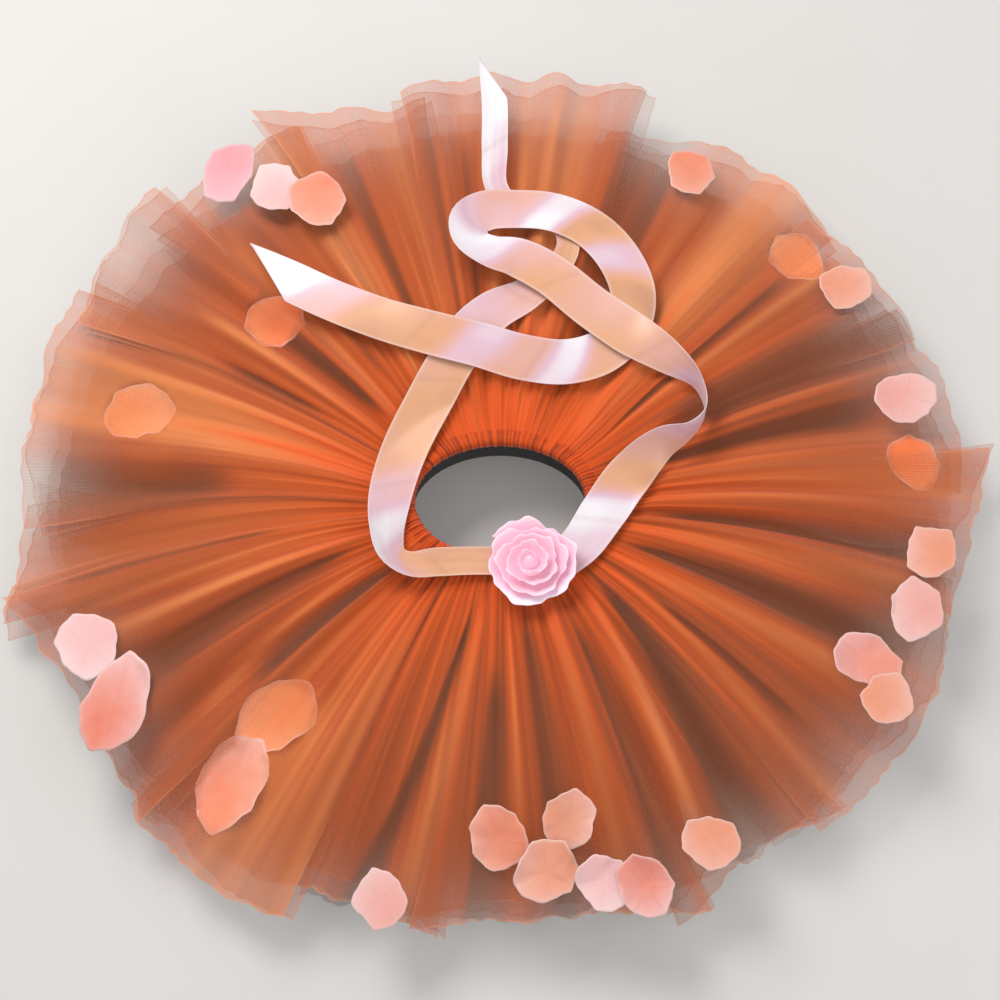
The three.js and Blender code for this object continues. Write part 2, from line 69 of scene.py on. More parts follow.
# Rows: reach, height of the underside, half height of the pleats, and how far a strip's edge fans out
layers = {
    "top": {
        "rows": np.array([
            [0, 41, 0.5, 0.95], [0.08, 46.5, 1.0, 0.95], [0.2, 52, 1.8, 1.0], [0.4, 54, 3.2, 1.2],
            [0.62, 46, 4.5, 1.5], [0.82, 33, 5.0, 2.0], [1, 20, 5.0, 2.3],
        ]),
        "pleats": 36,
        "lift": 1.0,
        "columns": 192,
        # first and last column, hem radius at the start, middle and end, and which side its end lies
        "strips": [
            [-6, 3, 254, 260, 273, 1], [3, 14, 259, 261, 258, -1], [14, 23, 258, 256, 253, 1],
            [23, 39, 258, 262, 243, -1], [39, 54, 277, 274, 271, 1], [54, 63, 262, 267, 286, 1],
            [63, 73, 271, 270, 269, -1], [73, 81, 285, 277, 268, 1], [81, 96, 279, 271, 264, 1],
            [96, 102, 263, 268, 276, -1], [102, 118, 272, 251, 255, 1], [118, 129, 258, 257, 254, 1],
            [129, 139, 236, 232, 237, -1], [139, 157, 236, 229, 244, 1], [157, 168, 244, 235, 243, -1],
            [168, 186, 247, 256, 252, 1],
        ],
    },
    "middle": {
        "rows": np.array([
            [0, 36.2, 0.2, 0.95], [0.2, 40.5, 0.7, 0.95], [0.45, 34, 1.2, 0.95], [0.8, 16.5, 1.3, 0.95],
            [1, 6, 1.25, 0.95],
        ]),
        "pleats": 20,
        "lift": 0.3,
        "columns": 64,
        "strips": [
            [0, 8, 252, 248, 250, 1], [8, 16, 249, 254, 258, -1], [16, 24, 256, 262, 258, 1],
            [24, 32, 262, 258, 252, 1], [32, 40, 254, 240, 245, -1], [40, 48, 246, 228, 222, 1],
            [48, 56, 222, 226, 236, -1], [56, 64, 238, 244, 250, 1],
        ],
    },
    "base": {
        "rows": np.array([
            [0, 32.4, 0, 0], [0.1, 32, 0, 0], [0.2, 27, 0, 0], [0.4, 12, 0, 0], [0.62, 0, 0, 0],
            [1, 0, 0, 0],
        ]),
        "pleats": 0,
        "lift": 0.0,
        "columns": 36,
        "strips": [
            [0, 6, 246, 244, 244, 1], [6, 12, 246, 252, 250, 1], [12, 18, 252, 252, 248, 1],
            [18, 24, 247, 238, 236, 1], [24, 30, 234, 222, 226, 1], [30, 36, 228, 236, 244, 1],
        ],
    },
}


def mix(a, b, share):
    # From a to b as the share goes from 0 to 1
    return a + (b - a) * share


def bell(value, width):
    # 1 where the value is 0, falling off on both sides over about the width
    return np.exp(-((value / width) ** 2))


def waves(turn, *rows):
    # Sum of sines: each row has a height, a count in one turn, and a start
    return sum(height * np.sin(count * turn + start) for height, count, start in rows)


def around(count):
    # The turns of a closed ring
    return np.linspace(0, 2 * np.pi, count, endpoint=False)[None, :]


def outwards(count):
    # Shares from 0 to 1, one to a row
    return np.linspace(0, 1, count)[:, None]


def stacked(*parts):
    # Arrays side by side on a new last axis, each spread to their common shape
    return np.stack(np.broadcast_arrays(*parts), axis=-1)


def cubic(start, end, leave, arrive, t):
    # From start to end as t goes from 0 to 1, with the slopes leave and arrive at the two ends
    return (
        start * (2 * t**3 - 3 * t**2 + 1)
        + end * (3 * t**2 - 2 * t**3)
        + leave * (t**3 - 2 * t**2 + t)
        + arrive * (t**3 - t**2)
    )


def smoothStep(low, high, value):
    # 0 below low, 1 above high, and an S-shaped rise between them
    share = np.clip((value - low) / (high - low), 0, 1)
    return share * share * (3 - 2 * share)


def alongRows(rows, column, reach):
    # A smooth curve through the table: each span is a cubic, whose slope at a row is the mean of
    # the straight slopes on its two sides; past the last row it runs on at its last slope
    knots, values = rows[:, 0], rows[:, column]
    spans = np.diff(values) / np.diff(knots)
    slopes = np.concatenate([spans[:1], (spans[:-1] + spans[1:]) / 2, spans[-1:]])
    reach = np.maximum(reach, 0)
    i = np.clip(np.searchsorted(knots, reach) - 1, 0, len(knots) - 2)
    span = knots[i + 1] - knots[i]
    t = np.clip((reach - knots[i]) / span, 0, 1)
    curve = cubic(values[i], values[i + 1], slopes[i] * span, slopes[i + 1] * span, t)
    return curve + slopes[-1] * np.maximum(reach - knots[-1], 0)


def ovalSize(reach):
    # Half width and half depth of the plan's ellipse at a reach
    return [mix(skirtPlan[key], skirtPlan["radius"], reach) for key in ("waistHalfWidth", "waistHalfDepth")]


def planPoint(reach, turn):
    # Ellipses that turn from the waist's oval at reach 0 into the hem's circle at reach 1
    wide, deep = ovalSize(reach)
    return wide * np.cos(turn), deep * np.sin(turn)


def planPlace(x, y):
    # Reach and turn of a point of the plan: the reach is halved in on until its ellipse passes the point
    low, high = np.full(np.shape(x), -0.12), np.full(np.shape(x), 1.3)
    for _ in range(30):
        reach = (low + high) / 2
        wide, deep = ovalSize(reach)
        outside = (x / wide) ** 2 + (y / deep) ** 2 > 1
        low, high = np.where(outside, reach, low), np.where(outside, high, reach)
    wide, deep = ovalSize(low)
    return low, np.arctan2(y / deep, x / wide)


def reachOfHem(radius, turn):
    # Reach at which the plan's ellipse comes to a hem of this radius
    waist = np.hypot(*planPoint(0, turn))
    return (radius - waist) / (skirtPlan["radius"] - waist)


def liftAt(turn, reach):
    # The hem is lifted, most at the far side, and a little lowered at the near one. This grows
    # evenly with the reach past its start
    share = np.maximum(0, (reach - skirtPlan["farLiftFrom"]) / (1 - skirtPlan["farLiftFrom"]))
    return (skirtPlan["farLiftMean"] + skirtPlan["farLiftSwing"] * np.sin(turn)) * share


def pleatDepth(turn):
    # Share of the pleats' height, which swells and sinks five times round the waist
    return 0.78 + 0.22 * np.sin(5 * turn + 1)


def pleatWave(turn, count):
    # Uneven pleats: a cosine whose spacing and depth drift round the waist
    drift = waves(turn, (1.4, 3, 0.6), (0.9, 7, 2.1))
    return pleatDepth(turn) * np.cos(count * turn + drift)


def slopeAt(layer, reach, turn):
    # A layer's underside without its pleats: its row height plus its share of the lift
    return alongRows(layer["rows"], 1, reach) + layer["lift"] * liftAt(turn, reach)


def crestAt(reach, turn):
    # The smooth surface just over the top layer, which the ties lie on: its row height, pleats, fan,
    # lift and wall added up, and over the waist the heading's crest, which falls with the reach
    rows = layers["top"]["rows"]
    crest = (
        alongRows(rows, 1, reach)
        + alongRows(rows, 2, reach) * pleatDepth(turn)
        + alongRows(rows, 3, reach)
        + liftAt(turn, reach)
        + skirtPlan["tulleWall"]
    )
    return np.maximum(crest, skirtPlan["headingCrest"] - skirtPlan["crestFall"] * np.maximum(0, reach))


# Rows: place, size, direction in degrees, layer, silk, corners, and how much longer it is than wide
petalTable = [
    (-156, 203, 31, 250, "top", "pink", 5, 0.3), (-128, 192, 32, 20, "top", "pale", 5, 0.0),
    (-104, 181, 30, 290, "top", "coral", 6, 0.4), (109, 202, 30, 80, "top", "coral", 5, 0.0),
    (195, 130, 30, 10, "top", "peach", 5, 0.0), (225, 62, 31, 180, "top", "blush", 8, 0.1),
    (234, -29, 32, 45, "top", "peach", 4, 0.0), (224, -62, 31, 280, "top", "blush", 5, 0.15),
    (196, -91, 30, 330, "top", "rosy", 5, 0.3), (206, -112, 28, 320, "top", "peach", 5, 0.1),
    (110, -190, 30, 60, "top", "peach", 6, 0.0), (36, -180, 30, 100, "top", "peach", 5, 0.0),
    (-1, -189, 32, 210, "top", "coral", 6, 0.0), (24, -206, 33, 20, "top", "peach", 6, 0.0),
    (54, -212, 30, 340, "top", "pale", 5, 0.0), (75, -214, 29, 330, "top", "rimmed", 6, 0.15),
    (-62, -220, 29, 260, "top", "blush", 4, 0.2), (-221, -82, 36, 170, "top", "pale", 6, 0.0),
    (-204, -115, 37, 70, "top", "rimmed", 6, 0.45), (232, 34, 32, 30, "middle", "glow", 6, 0.0),
    (171, 160, 34, 120, "middle", "orange", 5, 0.0), (-127, 113, 33, 80, "middle", "glow", 6, 0.1),
    (-120, -118, 38, 220, "middle", "orange", 5, 0.3), (-143, -153, 38, 240, "middle", "salmon", 6, 0.35),
    (-203, 62, 34, 160, "middle", "orange", 7, 0.2),
]


def turned(aim, lengthwise, sideways):
    # A step along and across a direction in degrees, as a step in x and y
    cosine, sine = math.cos(math.radians(aim)), math.sin(math.radians(aim))
    return lengthwise * cosine - sideways * sine, lengthwise * sine + sideways * cosine


def petalShare(row, x, y):
    # Distance from a petal's middle, as a share of its mean radius in that direction
    x0, y0, size, aim, _, _, _, drawn = row
    lengthwise, sideways = turned(-aim, x - x0, y - y0)
    return np.hypot(lengthwise / (1 + drawn), sideways) / (size / 2)


def petalLevel(index):
    # One more than the highest of the earlier petals of its layer that it overlaps
    x, y, size, _, key = petalTable[index][:5]
    under = [
        petalLevel(i) + 1
        for i, other in enumerate(petalTable[:index])
        if other[4] == key and math.hypot(x - other[0], y - other[1]) < (size + other[2]) * 0.53
    ]
    return max(under, default=0)


# Meshes

def placed(name, data):
    # A new object in the scene that holds a mesh, a lamp or a camera
    thing = bpy.data.objects.new(name, data)
    bpy.context.scene.collection.objects.link(thing)
    return thing


def pieceFrom(name, grids, material):
    # One mesh from several grids of points. A grid has points (rows, columns, 3) in millimetres,
    # uv (rows, columns, 2) and cloth (rows, columns, 3). It is wrapped where its columns close,
    # and has a pole where its first row is one point
    faces, start = [], 0
    for grid in grids:
        rows, columns = grid["points"].shape[:2]
        index = start + np.arange(rows * columns).reshape(rows, columns)
        if grid.get("wrapped"):
            index = np.concatenate([index, index[:, :1]], axis=1)
        corners = [index[:-1, :-1], index[1:, :-1], index[1:, 1:], index[:-1, 1:]]
        faces.append(np.stack(corners, axis=-1).reshape(-1, 4))
        start += rows * columns
    faces = np.concatenate(faces)
    points, uvs, cloths = (
        np.concatenate([grid[key].reshape(-1, grid[key].shape[-1]) for grid in grids])
        for key in ("points", "uv", "cloth")
    )
    points = points * toMetres + waistPlace
    mesh = bpy.data.meshes.new(name)
    mesh.vertices.add(len(points))
    mesh.vertices.foreach_set("co", points.astype(np.float32).ravel())
    mesh.loops.add(faces.size)
    mesh.loops.foreach_set("vertex_index", faces.astype(np.int32).ravel())
    mesh.polygons.add(len(faces))
    mesh.polygons.foreach_set("loop_start", np.arange(0, faces.size, 4, dtype=np.int32))
    mesh.polygons.foreach_set("use_smooth", np.ones(len(faces), bool))
    layer = mesh.uv_layers.new(name="weave")
    layer.data.foreach_set("uv", uvs[faces.ravel()].astype(np.float32).ravel())
    paint = mesh.color_attributes.new(name="cloth", type="FLOAT_COLOR", domain="POINT")
    paint.data.foreach_set("color", np.c_[cloths, np.ones(len(cloths))].astype(np.float32).ravel())
    mesh.update(calc_edges=True)
    if any(grid.get("pole") for grid in grids):
        weld = bmesh.new()
        weld.from_mesh(mesh)
        bmesh.ops.remove_doubles(weld, verts=weld.verts, dist=1e-6)  # closes the fans round the poles
        weld.to_mesh(mesh)
        weld.free()
    mesh.validate()
    mesh.materials.append(material)
    return placed(name, mesh)


def gridArea(grid):
    # Sum of the grid's cells, each as half the cross product of its diagonals, in square metres
    points = grid["points"]
    if grid.get("wrapped"):
        points = np.concatenate([points, points[:, :1]], axis=1)
    across = points[1:, 1:] - points[:-1, :-1]
    along = points[1:, :-1] - points[:-1, 1:]
    return float(np.linalg.norm(np.cross(across, along), axis=-1).sum() / 2 * toMetres**2)


def thicken(piece, thickness):
    # A wall of this many millimetres, half of it on each side of the sheet
    wall = piece.modifiers.new("wall", "SOLIDIFY")
    wall.thickness, wall.offset = thickness * toMetres, 0


def settle(piece, nodes):
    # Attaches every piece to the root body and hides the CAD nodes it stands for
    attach(piece, "root")
    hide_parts(*nodes)
    return piece


# Materials

class Wire:
    # A shader socket that takes part in sums: each operator adds a Math node
    def __init__(self, finish, socket):
        self.finish, self.socket = finish, socket

    def math(self, operation, *values):
        # A Math node that takes these values in their order
        return self.finish.add("ShaderNodeMath", {"operation": operation}, dict(enumerate(values)))

    def __add__(self, other):
        return self.math("ADD", self, other)

    __radd__ = __add__

    def __sub__(self, other):
        return self.math("SUBTRACT", self, other)

    def __rsub__(self, other):
        return self.math("SUBTRACT", other, self)

    def __mul__(self, other):
        return self.math("MULTIPLY", self, other)

    __rmul__ = __mul__

    def limited(self, low=0.0, high=1.0):
        # Never under low or over high
        return self.math("MINIMUM", self.math("MAXIMUM", self, low), high)


class Finish:
    # A material whose nodes are added one call at a time
    def __init__(self, name):
        self.material = bpy.data.materials.new(name)
        self.material.use_nodes = True
        self.tree = self.material.node_tree
        self.shader = self.tree.nodes["Principled BSDF"]

    def add(self, kind, settings=None, sockets=None, output=0):
        # A new node with its settings and inputs, known by one of its outputs
        node = self.tree.nodes.new(kind)
        for key, value in (settings or {}).items():
            setattr(node, key, value)
        for key, value in (sockets or {}).items():
            self.put(node.inputs[key], value)
        return Wire(self, node.outputs[output])

    def put(self, socket, value):
        # A Wire is linked to the socket; anything else is the socket's own value
        if isinstance(value, Wire):
            self.tree.links.new(value.socket, socket)
        else:
            socket.default_value = value

    def surface(self, **values):
        # Inputs of the material's shader, named with _ for a space
        for key, value in values.items():
            self.put(self.shader.inputs[key.replace("_", " ")], value)

    def glow(self, colour, strength):
        # Painted glow: faint light of its own, which isn't sampled as a lamp
        self.surface(Emission_Color=colour, Emission_Strength=strength)
        self.material.cycles.emission_sampling = "NONE"

    def blend(self, factor, first, second):
        # The first colour where the factor is 0, the second where it is 1
        return self.add("ShaderNodeMix", {"data_type": "RGBA"}, {0: factor, 6: first, 7: second}, 2)

    def split(self, kind, value, count):
        # The first numbers of a colour or a vector
        node = self.add(kind, {}, {0: value}).socket.node
        return [Wire(self, node.outputs[i]) for i in range(count)]

    def parts(self, name):
        # The three numbers of a colour attribute
        colour = self.add("ShaderNodeAttribute", {"attribute_name": name})
        return self.split("ShaderNodeSeparateColor", colour, 3)

    def weave(self, scale):
        # The piece's own UV map in metres, stretched by scale
        place = self.add("ShaderNodeUVMap", {"uv_map": "weave"})
        return self.add("ShaderNodeMapping", {}, {"Vector": place, "Scale": scale})

    def noise(self, place, scale, detail, roughness):
        # Cloudy values round one half
        sockets = {"Vector": place, "Scale": scale, "Detail": detail, "Roughness": roughness}
        return self.add("ShaderNodeTexNoise", {}, sockets)

    def clouds(self, scale, detail, roughness):
        # Noise over the weave
        return self.noise(self.weave((*scale, 1)), 1.0, detail, roughness)

    def cloth(self, colour, roughness, height, strength, distance, **constants):
        # A cloth's colour, roughness and relief, and what is the same all over it
        relief = {"Height": height, "Strength": strength, "Distance": distance}
        normal = self.add("ShaderNodeBump", {}, relief)
        self.surface(Base_Color=colour, Roughness=roughness.limited(), Normal=normal, **constants)


def rgb(red, green, blue):
    # A screen colour of 0 to 255 as the linear colour that a shader takes
    value = np.array([red, green, blue]) / 255
    linear = np.where(value <= 0.04045, value / 12.92, ((value + 0.055) / 1.055) ** 2.4)
    return (*linear.tolist(), 1.0)


tulleLook = {
    # shade and bright are the painted shade and highlight of the folds
    "shade": rgb(94, 41, 17),
    "orange": rgb(226, 97, 35),
    "bright": rgb(253, 149, 86),
    "gathered": rgb(237, 82, 9),
    "hemTint": rgb(202, 129, 94),
    # edge is the painted highlight along the cut edges
    "edge": rgb(250, 188, 150),
    "netPitch": 0.0015,
    "netDepth": 0.08,
    "holeLevel": 0.42,
    "sheerBelow": 0.75,
    "sheerPace": 1.1,
    "denseAbove": 0.76,
    "densePace": 4.0,
    "denseShare": 0.75,
    "edgeShare": 0.5,
    "edgeSolid": 0.3,
    "roughness": 0.78,
    "sheen": 0.2,
}


def tulleMaterial(name, paintedShade):
    # Net of fine threads: dense where it is gathered, sheer at the hem, with its cut edges painted pale as
    # a highlight.
    # cloth holds how solid the net is, the painted light and shade of its folds, and how near an edge it
    # lies.
    # The net's holes are where the sines of both ways of the weave are far from zero
    finish = Finish(name)
    solid, tone, edge = finish.parts("cloth")
    lit = (tone * 2.0).limited()
    low = finish.blend(lit, tulleLook["shade"], tulleLook["orange"])
    colour = finish.blend((tone * 2.0 - 1.0).limited(), low, tulleLook["bright"])
    sheer = ((tulleLook["sheerBelow"] - solid) * tulleLook["sheerPace"]).limited()
    colour = finish.blend(sheer, colour, tulleLook["hemTint"])
    dense = ((solid - tulleLook["denseAbove"]) * tulleLook["densePace"]).limited()
    dense = dense * tulleLook["denseShare"]
    colour = finish.blend(dense, colour, finish.blend(lit, tulleLook["shade"], tulleLook["gathered"]))
    # painted highlight: the cut edges are made paler
    colour = finish.blend(edge * tulleLook["edgeShare"], colour, tulleLook["edge"])
    # painted shade: the inner and lowest layers are blended towards the shade colour
    colour = finish.blend(paintedShade, colour, tulleLook["shade"])
    pitch = math.pi / tulleLook["netPitch"]
    across, along = finish.split("ShaderNodeSeparateXYZ", finish.weave((pitch, pitch, 1)), 2)
    hole = across.math("ABSOLUTE", across.math("SINE", across) * along.math("SINE", along))
    net = (tulleLook["holeLevel"] - hole) * (1.0 - solid) * (tulleLook["netDepth"] * 2.0)
    alpha = (solid + edge * tulleLook["edgeSolid"] + net).limited(0.02, 1.0)
    finish.surface(Base_Color=colour, Alpha=alpha, Roughness=tulleLook["roughness"])
    if paintedShade == 0:
        finish.surface(Sheen_Weight=tulleLook["sheen"], Sheen_Roughness=0.5)
    finish.surface(Specular_IOR_Level=0.25 if paintedShade == 0 else 0.0)
    return finish.material


tulleTop = tulleMaterial("orange tulle", 0.0)
# the inner and lowest layers are shaded copies of the net: painted shade
tulleMiddle = tulleMaterial("orange tulle, inner, painted shade", 0.25)
tulleBase = tulleMaterial("orange tulle, lowest, painted shade", 0.55)

satinLook = {
    # painted light, from tan shade through pale pink and lavender reflection to white highlight
    "paintedLightStops": [
        (0.0, rgb(200, 140, 114)),
        (0.25, rgb(239, 176, 132)),
        (0.5, rgb(241, 183, 169)),
        (0.75, rgb(238, 199, 214)),
        (1.0, rgb(255, 250, 254)),
    ],
    "cloudy": 0.22,
    # crease is the painted shade in the creases and where the tie is gathered narrow
    "crease": rgb(176, 116, 104),
    "creaseShare": 0.35,
    "edge": rgb(255, 236, 230),
    "edgeShare": 0.4,
    "threadPitch": 0.0004,
    "roughness": 0.3,
}


def satinMaterial():
    # Satin ribbon: fine lengthwise threads, a woven edge, and painted light that changes along its length:
    # tan shade, lavender reflections and white highlights.
    # cloth holds the painted light, the closeness to an edge and the painted shade in the creases
    finish = Finish("pale pink satin")
    paintedLight, edge, crease = finish.parts("cloth")
    cloudy = finish.clouds((60, 24), 2.0, 0.5)
    clouded = (paintedLight + (cloudy - 0.5) * satinLook["cloudy"]).limited()
    ramp = finish.add("ShaderNodeValToRGB", {}, {0: clouded})
    stops = ramp.socket.node.color_ramp.elements
    while len(stops) < len(satinLook["paintedLightStops"]):
        stops.new(0.5)
    for stop, (place, colour) in zip(stops, satinLook["paintedLightStops"]):
        stop.position, stop.color = place, colour
    colour = finish.blend(crease * satinLook["creaseShare"], ramp, satinLook["crease"])
    colour = finish.blend(edge * satinLook["edgeShare"], colour, satinLook["edge"])
    threads = finish.clouds((1 / satinLook["threadPitch"], 40), 1.0, 0.4)
    roughness = satinLook["roughness"] + (threads - 0.5) * 0.16 + edge * 0.2
    finish.cloth(colour, roughness, threads + edge * 1.5, 0.25, 0.0002, Anisotropic=0.5, Sheen_Weight=0.2)
    finish.surface(Specular_IOR_Level=0.6)
    return finish.material


satin = satinMaterial()


rosetteLook = {
    # ruffle is the painted highlight of the ruffles, front that of the near side
    "ribbon": rgb(255, 184, 208),
    "ruffle": rgb(255, 218, 232),
    "front": rgb(252, 240, 254),
    "edge": rgb(255, 240, 248),
    "edgeShare": 0.4,
    "cloudy": 0.8,
    "paintedGlow": 0.2,
}


def rosetteMaterial():
    # Thin pink ribbon, paler on its ruffled rims and their crests and almost white at the near side, both
    # painted highlights.
    # cloth holds the ruffles' painted highlight, the near side's painted highlight, and how near the rim's
    # edge
    finish = Finish("pink rosette ribbon")
    pale, front, edge = finish.parts("cloth")
    cloudy = finish.clouds((70, 90), 3.0, 0.6)
    ruffled = (pale + (cloudy - 0.5) * rosetteLook["cloudy"]).limited()
    whitened = (front * 0.9 + (cloudy - 0.5) * 0.9 * front).limited()
    colour = finish.blend(ruffled, rosetteLook["ribbon"], rosetteLook["ruffle"])
    colour = finish.blend(whitened, colour, rosetteLook["front"])
    colour = finish.blend(edge * rosetteLook["edgeShare"], colour, rosetteLook["edge"])
    threads = finish.clouds((900, 900), 1.0, 0.4)
    finish.cloth(colour, 0.45 + (threads - 0.5) * 0.2, threads, 0.2, 0.0002)
    finish.surface(Sheen_Weight=0.35, Sheen_Roughness=0.4, Specular_IOR_Level=0.5)
    finish.glow(colour, rosetteLook["paintedGlow"])  # painted glow, in place of light shining through the thin folds
    return finish.material


rosetteRibbon = rosetteMaterial()

silkLook = {
    "underNet": ("orange", "glow", "salmon"),
    "paintedNetGlow": 0.62,
    "edge": rgb(255, 238, 232),
    "edgeShare": 0.5,
    "veinShare": 0.3,
    "veinDark": 0.7,
    "cloudy": 0.6,
    "pink": (rgb(245, 160, 166), rgb(250, 192, 200)),
    "blush": (rgb(247, 172, 159), rgb(252, 203, 197)),
    "rosy": (rgb(248, 152, 124), rgb(249, 180, 174)),
    "pale": (rgb(252, 190, 187), rgb(255, 219, 216)),
    "coral": (rgb(245, 139, 103), rgb(251, 177, 155)),
    "peach": (rgb(245, 157, 120), rgb(252, 189, 170)),
    "orange": (rgb(251, 142, 84), rgb(253, 170, 126)),
    "glow": (rgb(252, 120, 61), rgb(253, 152, 104)),
    "salmon": (rgb(249, 143, 109), rgb(253, 193, 177)),
    "rimmed": (rgb(243, 132, 103), rgb(252, 197, 191)),
}


def silkMaterial(key):
    # Silk petal: veined from foot to tip, paler towards its rim, with a fine weave
    base, rimColour = silkLook[key]
    finish = Finish("petal silk " + key)
    rim, vein, edge = finish.parts("cloth")
    cloudy = finish.clouds((70, 70), 3.0, 0.6)
    rimmed = (rim * 0.9 + (cloudy - 0.5) * silkLook["cloudy"]).limited()
    colour = finish.blend(rimmed, base, rimColour)
    veinColour = tuple(silkLook["veinDark"] * c for c in base[:3]) + (1.0,)
    colour = finish.blend(vein * silkLook["veinShare"], colour, veinColour)
    colour = finish.blend(edge * silkLook["edgeShare"], colour, silkLook["edge"])
    weave = finish.clouds((1400, 1400), 1.0, 0.4)
    finish.cloth(colour, 0.55 + (cloudy - 0.5) * 0.2, weave + vein * 2.0, 0.3, 0.0003)
    finish.surface(Sheen_Weight=0.4, Sheen_Roughness=0.4, Specular_IOR_Level=0.35)
    if key in silkLook["underNet"]:  # painted glow on a petal under the net, in place of light that the net scatters onto it
        finish.glow(colour, silkLook["paintedNetGlow"])
    return finish.material


silks = {key: silkMaterial(key) for key in sorted({row[5] for row in petalTable})}


def elasticMaterial():
    # Black woven elastic: lengthwise rubber ribs, which cloth holds, crossed by fine thread
    finish = Finish("black elastic")
    rib = finish.parts("cloth")[0]
    thread = finish.clouds((2600, 900), 2.0, 0.5)
    colour = finish.blend((rib * 0.5 + thread * 0.5).limited(), rgb(6, 6, 6), rgb(25, 24, 25))
    finish.cloth(colour, 0.8 + (thread - 0.5) * 0.2, rib + thread * 0.5, 0.6, 0.0004)
    finish.surface(Sheen_Weight=0.15, Specular_IOR_Level=0.3)
    return finish.material


print("materials made")


# Camera, light and floor

view = {
    "elevation": 69,
    "distance": 1.5,
    "lens": 95.7,
    "sensor": 36,
    "aimAhead": 0.018,
}


def aimed(thing, place, target):
    # Puts a lamp or a camera at a place and turns it to look at the target
    thing.location = place
    thing.rotation_mode = "QUATERNION"
    thing.rotation_quaternion = (Vector(target) - Vector(place)).to_track_quat("-Z", "Y")


def makeCamera():
    # Stands back from its aim by the distance: out by the elevation's cosine, up by its sine
    slant = math.radians(view["elevation"])
    aim = Vector(waistPlace) + Vector((0, view["aimAhead"], 0))
    back = Vector((0, -math.cos(slant), math.sin(slant)))
    lens = bpy.data.cameras.new("camera")
    lens.lens, lens.sensor_width = view["lens"], view["sensor"]
    camera = placed("camera", lens)
    aimed(camera, aim + back * view["distance"], aim)
    bpy.context.scene.camera = camera


studio = {
    "sky": (0.9, 0.93, 1.0, 1.0),
    "skyStrength": 0.43,
    "lamps": [
        # name, place, size across, watts, colour, whether it casts shadows
        ("window", (-0.7, 0.9, 1.3), 0.9, 18.5, (1.0, 0.97, 0.93), True),
        ("fill", (0.9, -0.8, 1.3), 1.2, 9, (1.0, 0.96, 0.93), False),
    ],
    "floorSide": 3000,
    "floorHeight": -0.3,
    "floorTints": (rgb(226, 222, 217), rgb(236, 233, 229)),
}


def makeStudio():
    # An even, dim sky, a broad window at the far left and a weaker fill at the near right
    scene = bpy.context.scene
    scene.view_settings.view_transform = "Standard"
    scene.cycles.transparent_max_bounces = 24
    scene.cycles.max_bounces = 2
    scene.cycles.diffuse_bounces = 1
    scene.cycles.glossy_bounces = 1
    world = bpy.data.worlds.new("studio")
    world.use_nodes = True
    sky = world.node_tree.nodes["Background"]
    sky.inputs[0].default_value = studio["sky"]
    sky.inputs[1].default_value = studio["skyStrength"]
    scene.world = world
    for name, place, size, watts, colour, shadow in studio["lamps"]:
        lamp = bpy.data.lights.new(name, "AREA")
        lamp.size, lamp.energy, lamp.color, lamp.use_shadow = size, watts, colour, shadow
        aimed(placed(name, lamp), place, (0, 0, 0))


def makeFloor():
    # A flat square of pale, faintly mottled board
    finish = Finish("pale floor")
    place = finish.add("ShaderNodeTexCoord", {}, {}, 3)
    mottle = finish.noise(place, 6.0, 4.0, 0.5)
    finish.surface(Base_Color=finish.blend(mottle, *studio["floorTints"]), Roughness=0.7)
    finish.surface(Specular_IOR_Level=0.2)
    ends = np.array([-studio["floorSide"], studio["floorSide"]])
    points = stacked(ends[:, None], ends[None, :], float(studio["floorHeight"]))
    grid = {"points": points, "uv": points[..., :2] * toMetres, "cloth": points * 0}
    floor = pieceFrom("floor", [grid], finish.material)


makeCamera()
makeStudio()
makeFloor()
print("camera, studio and floor made")
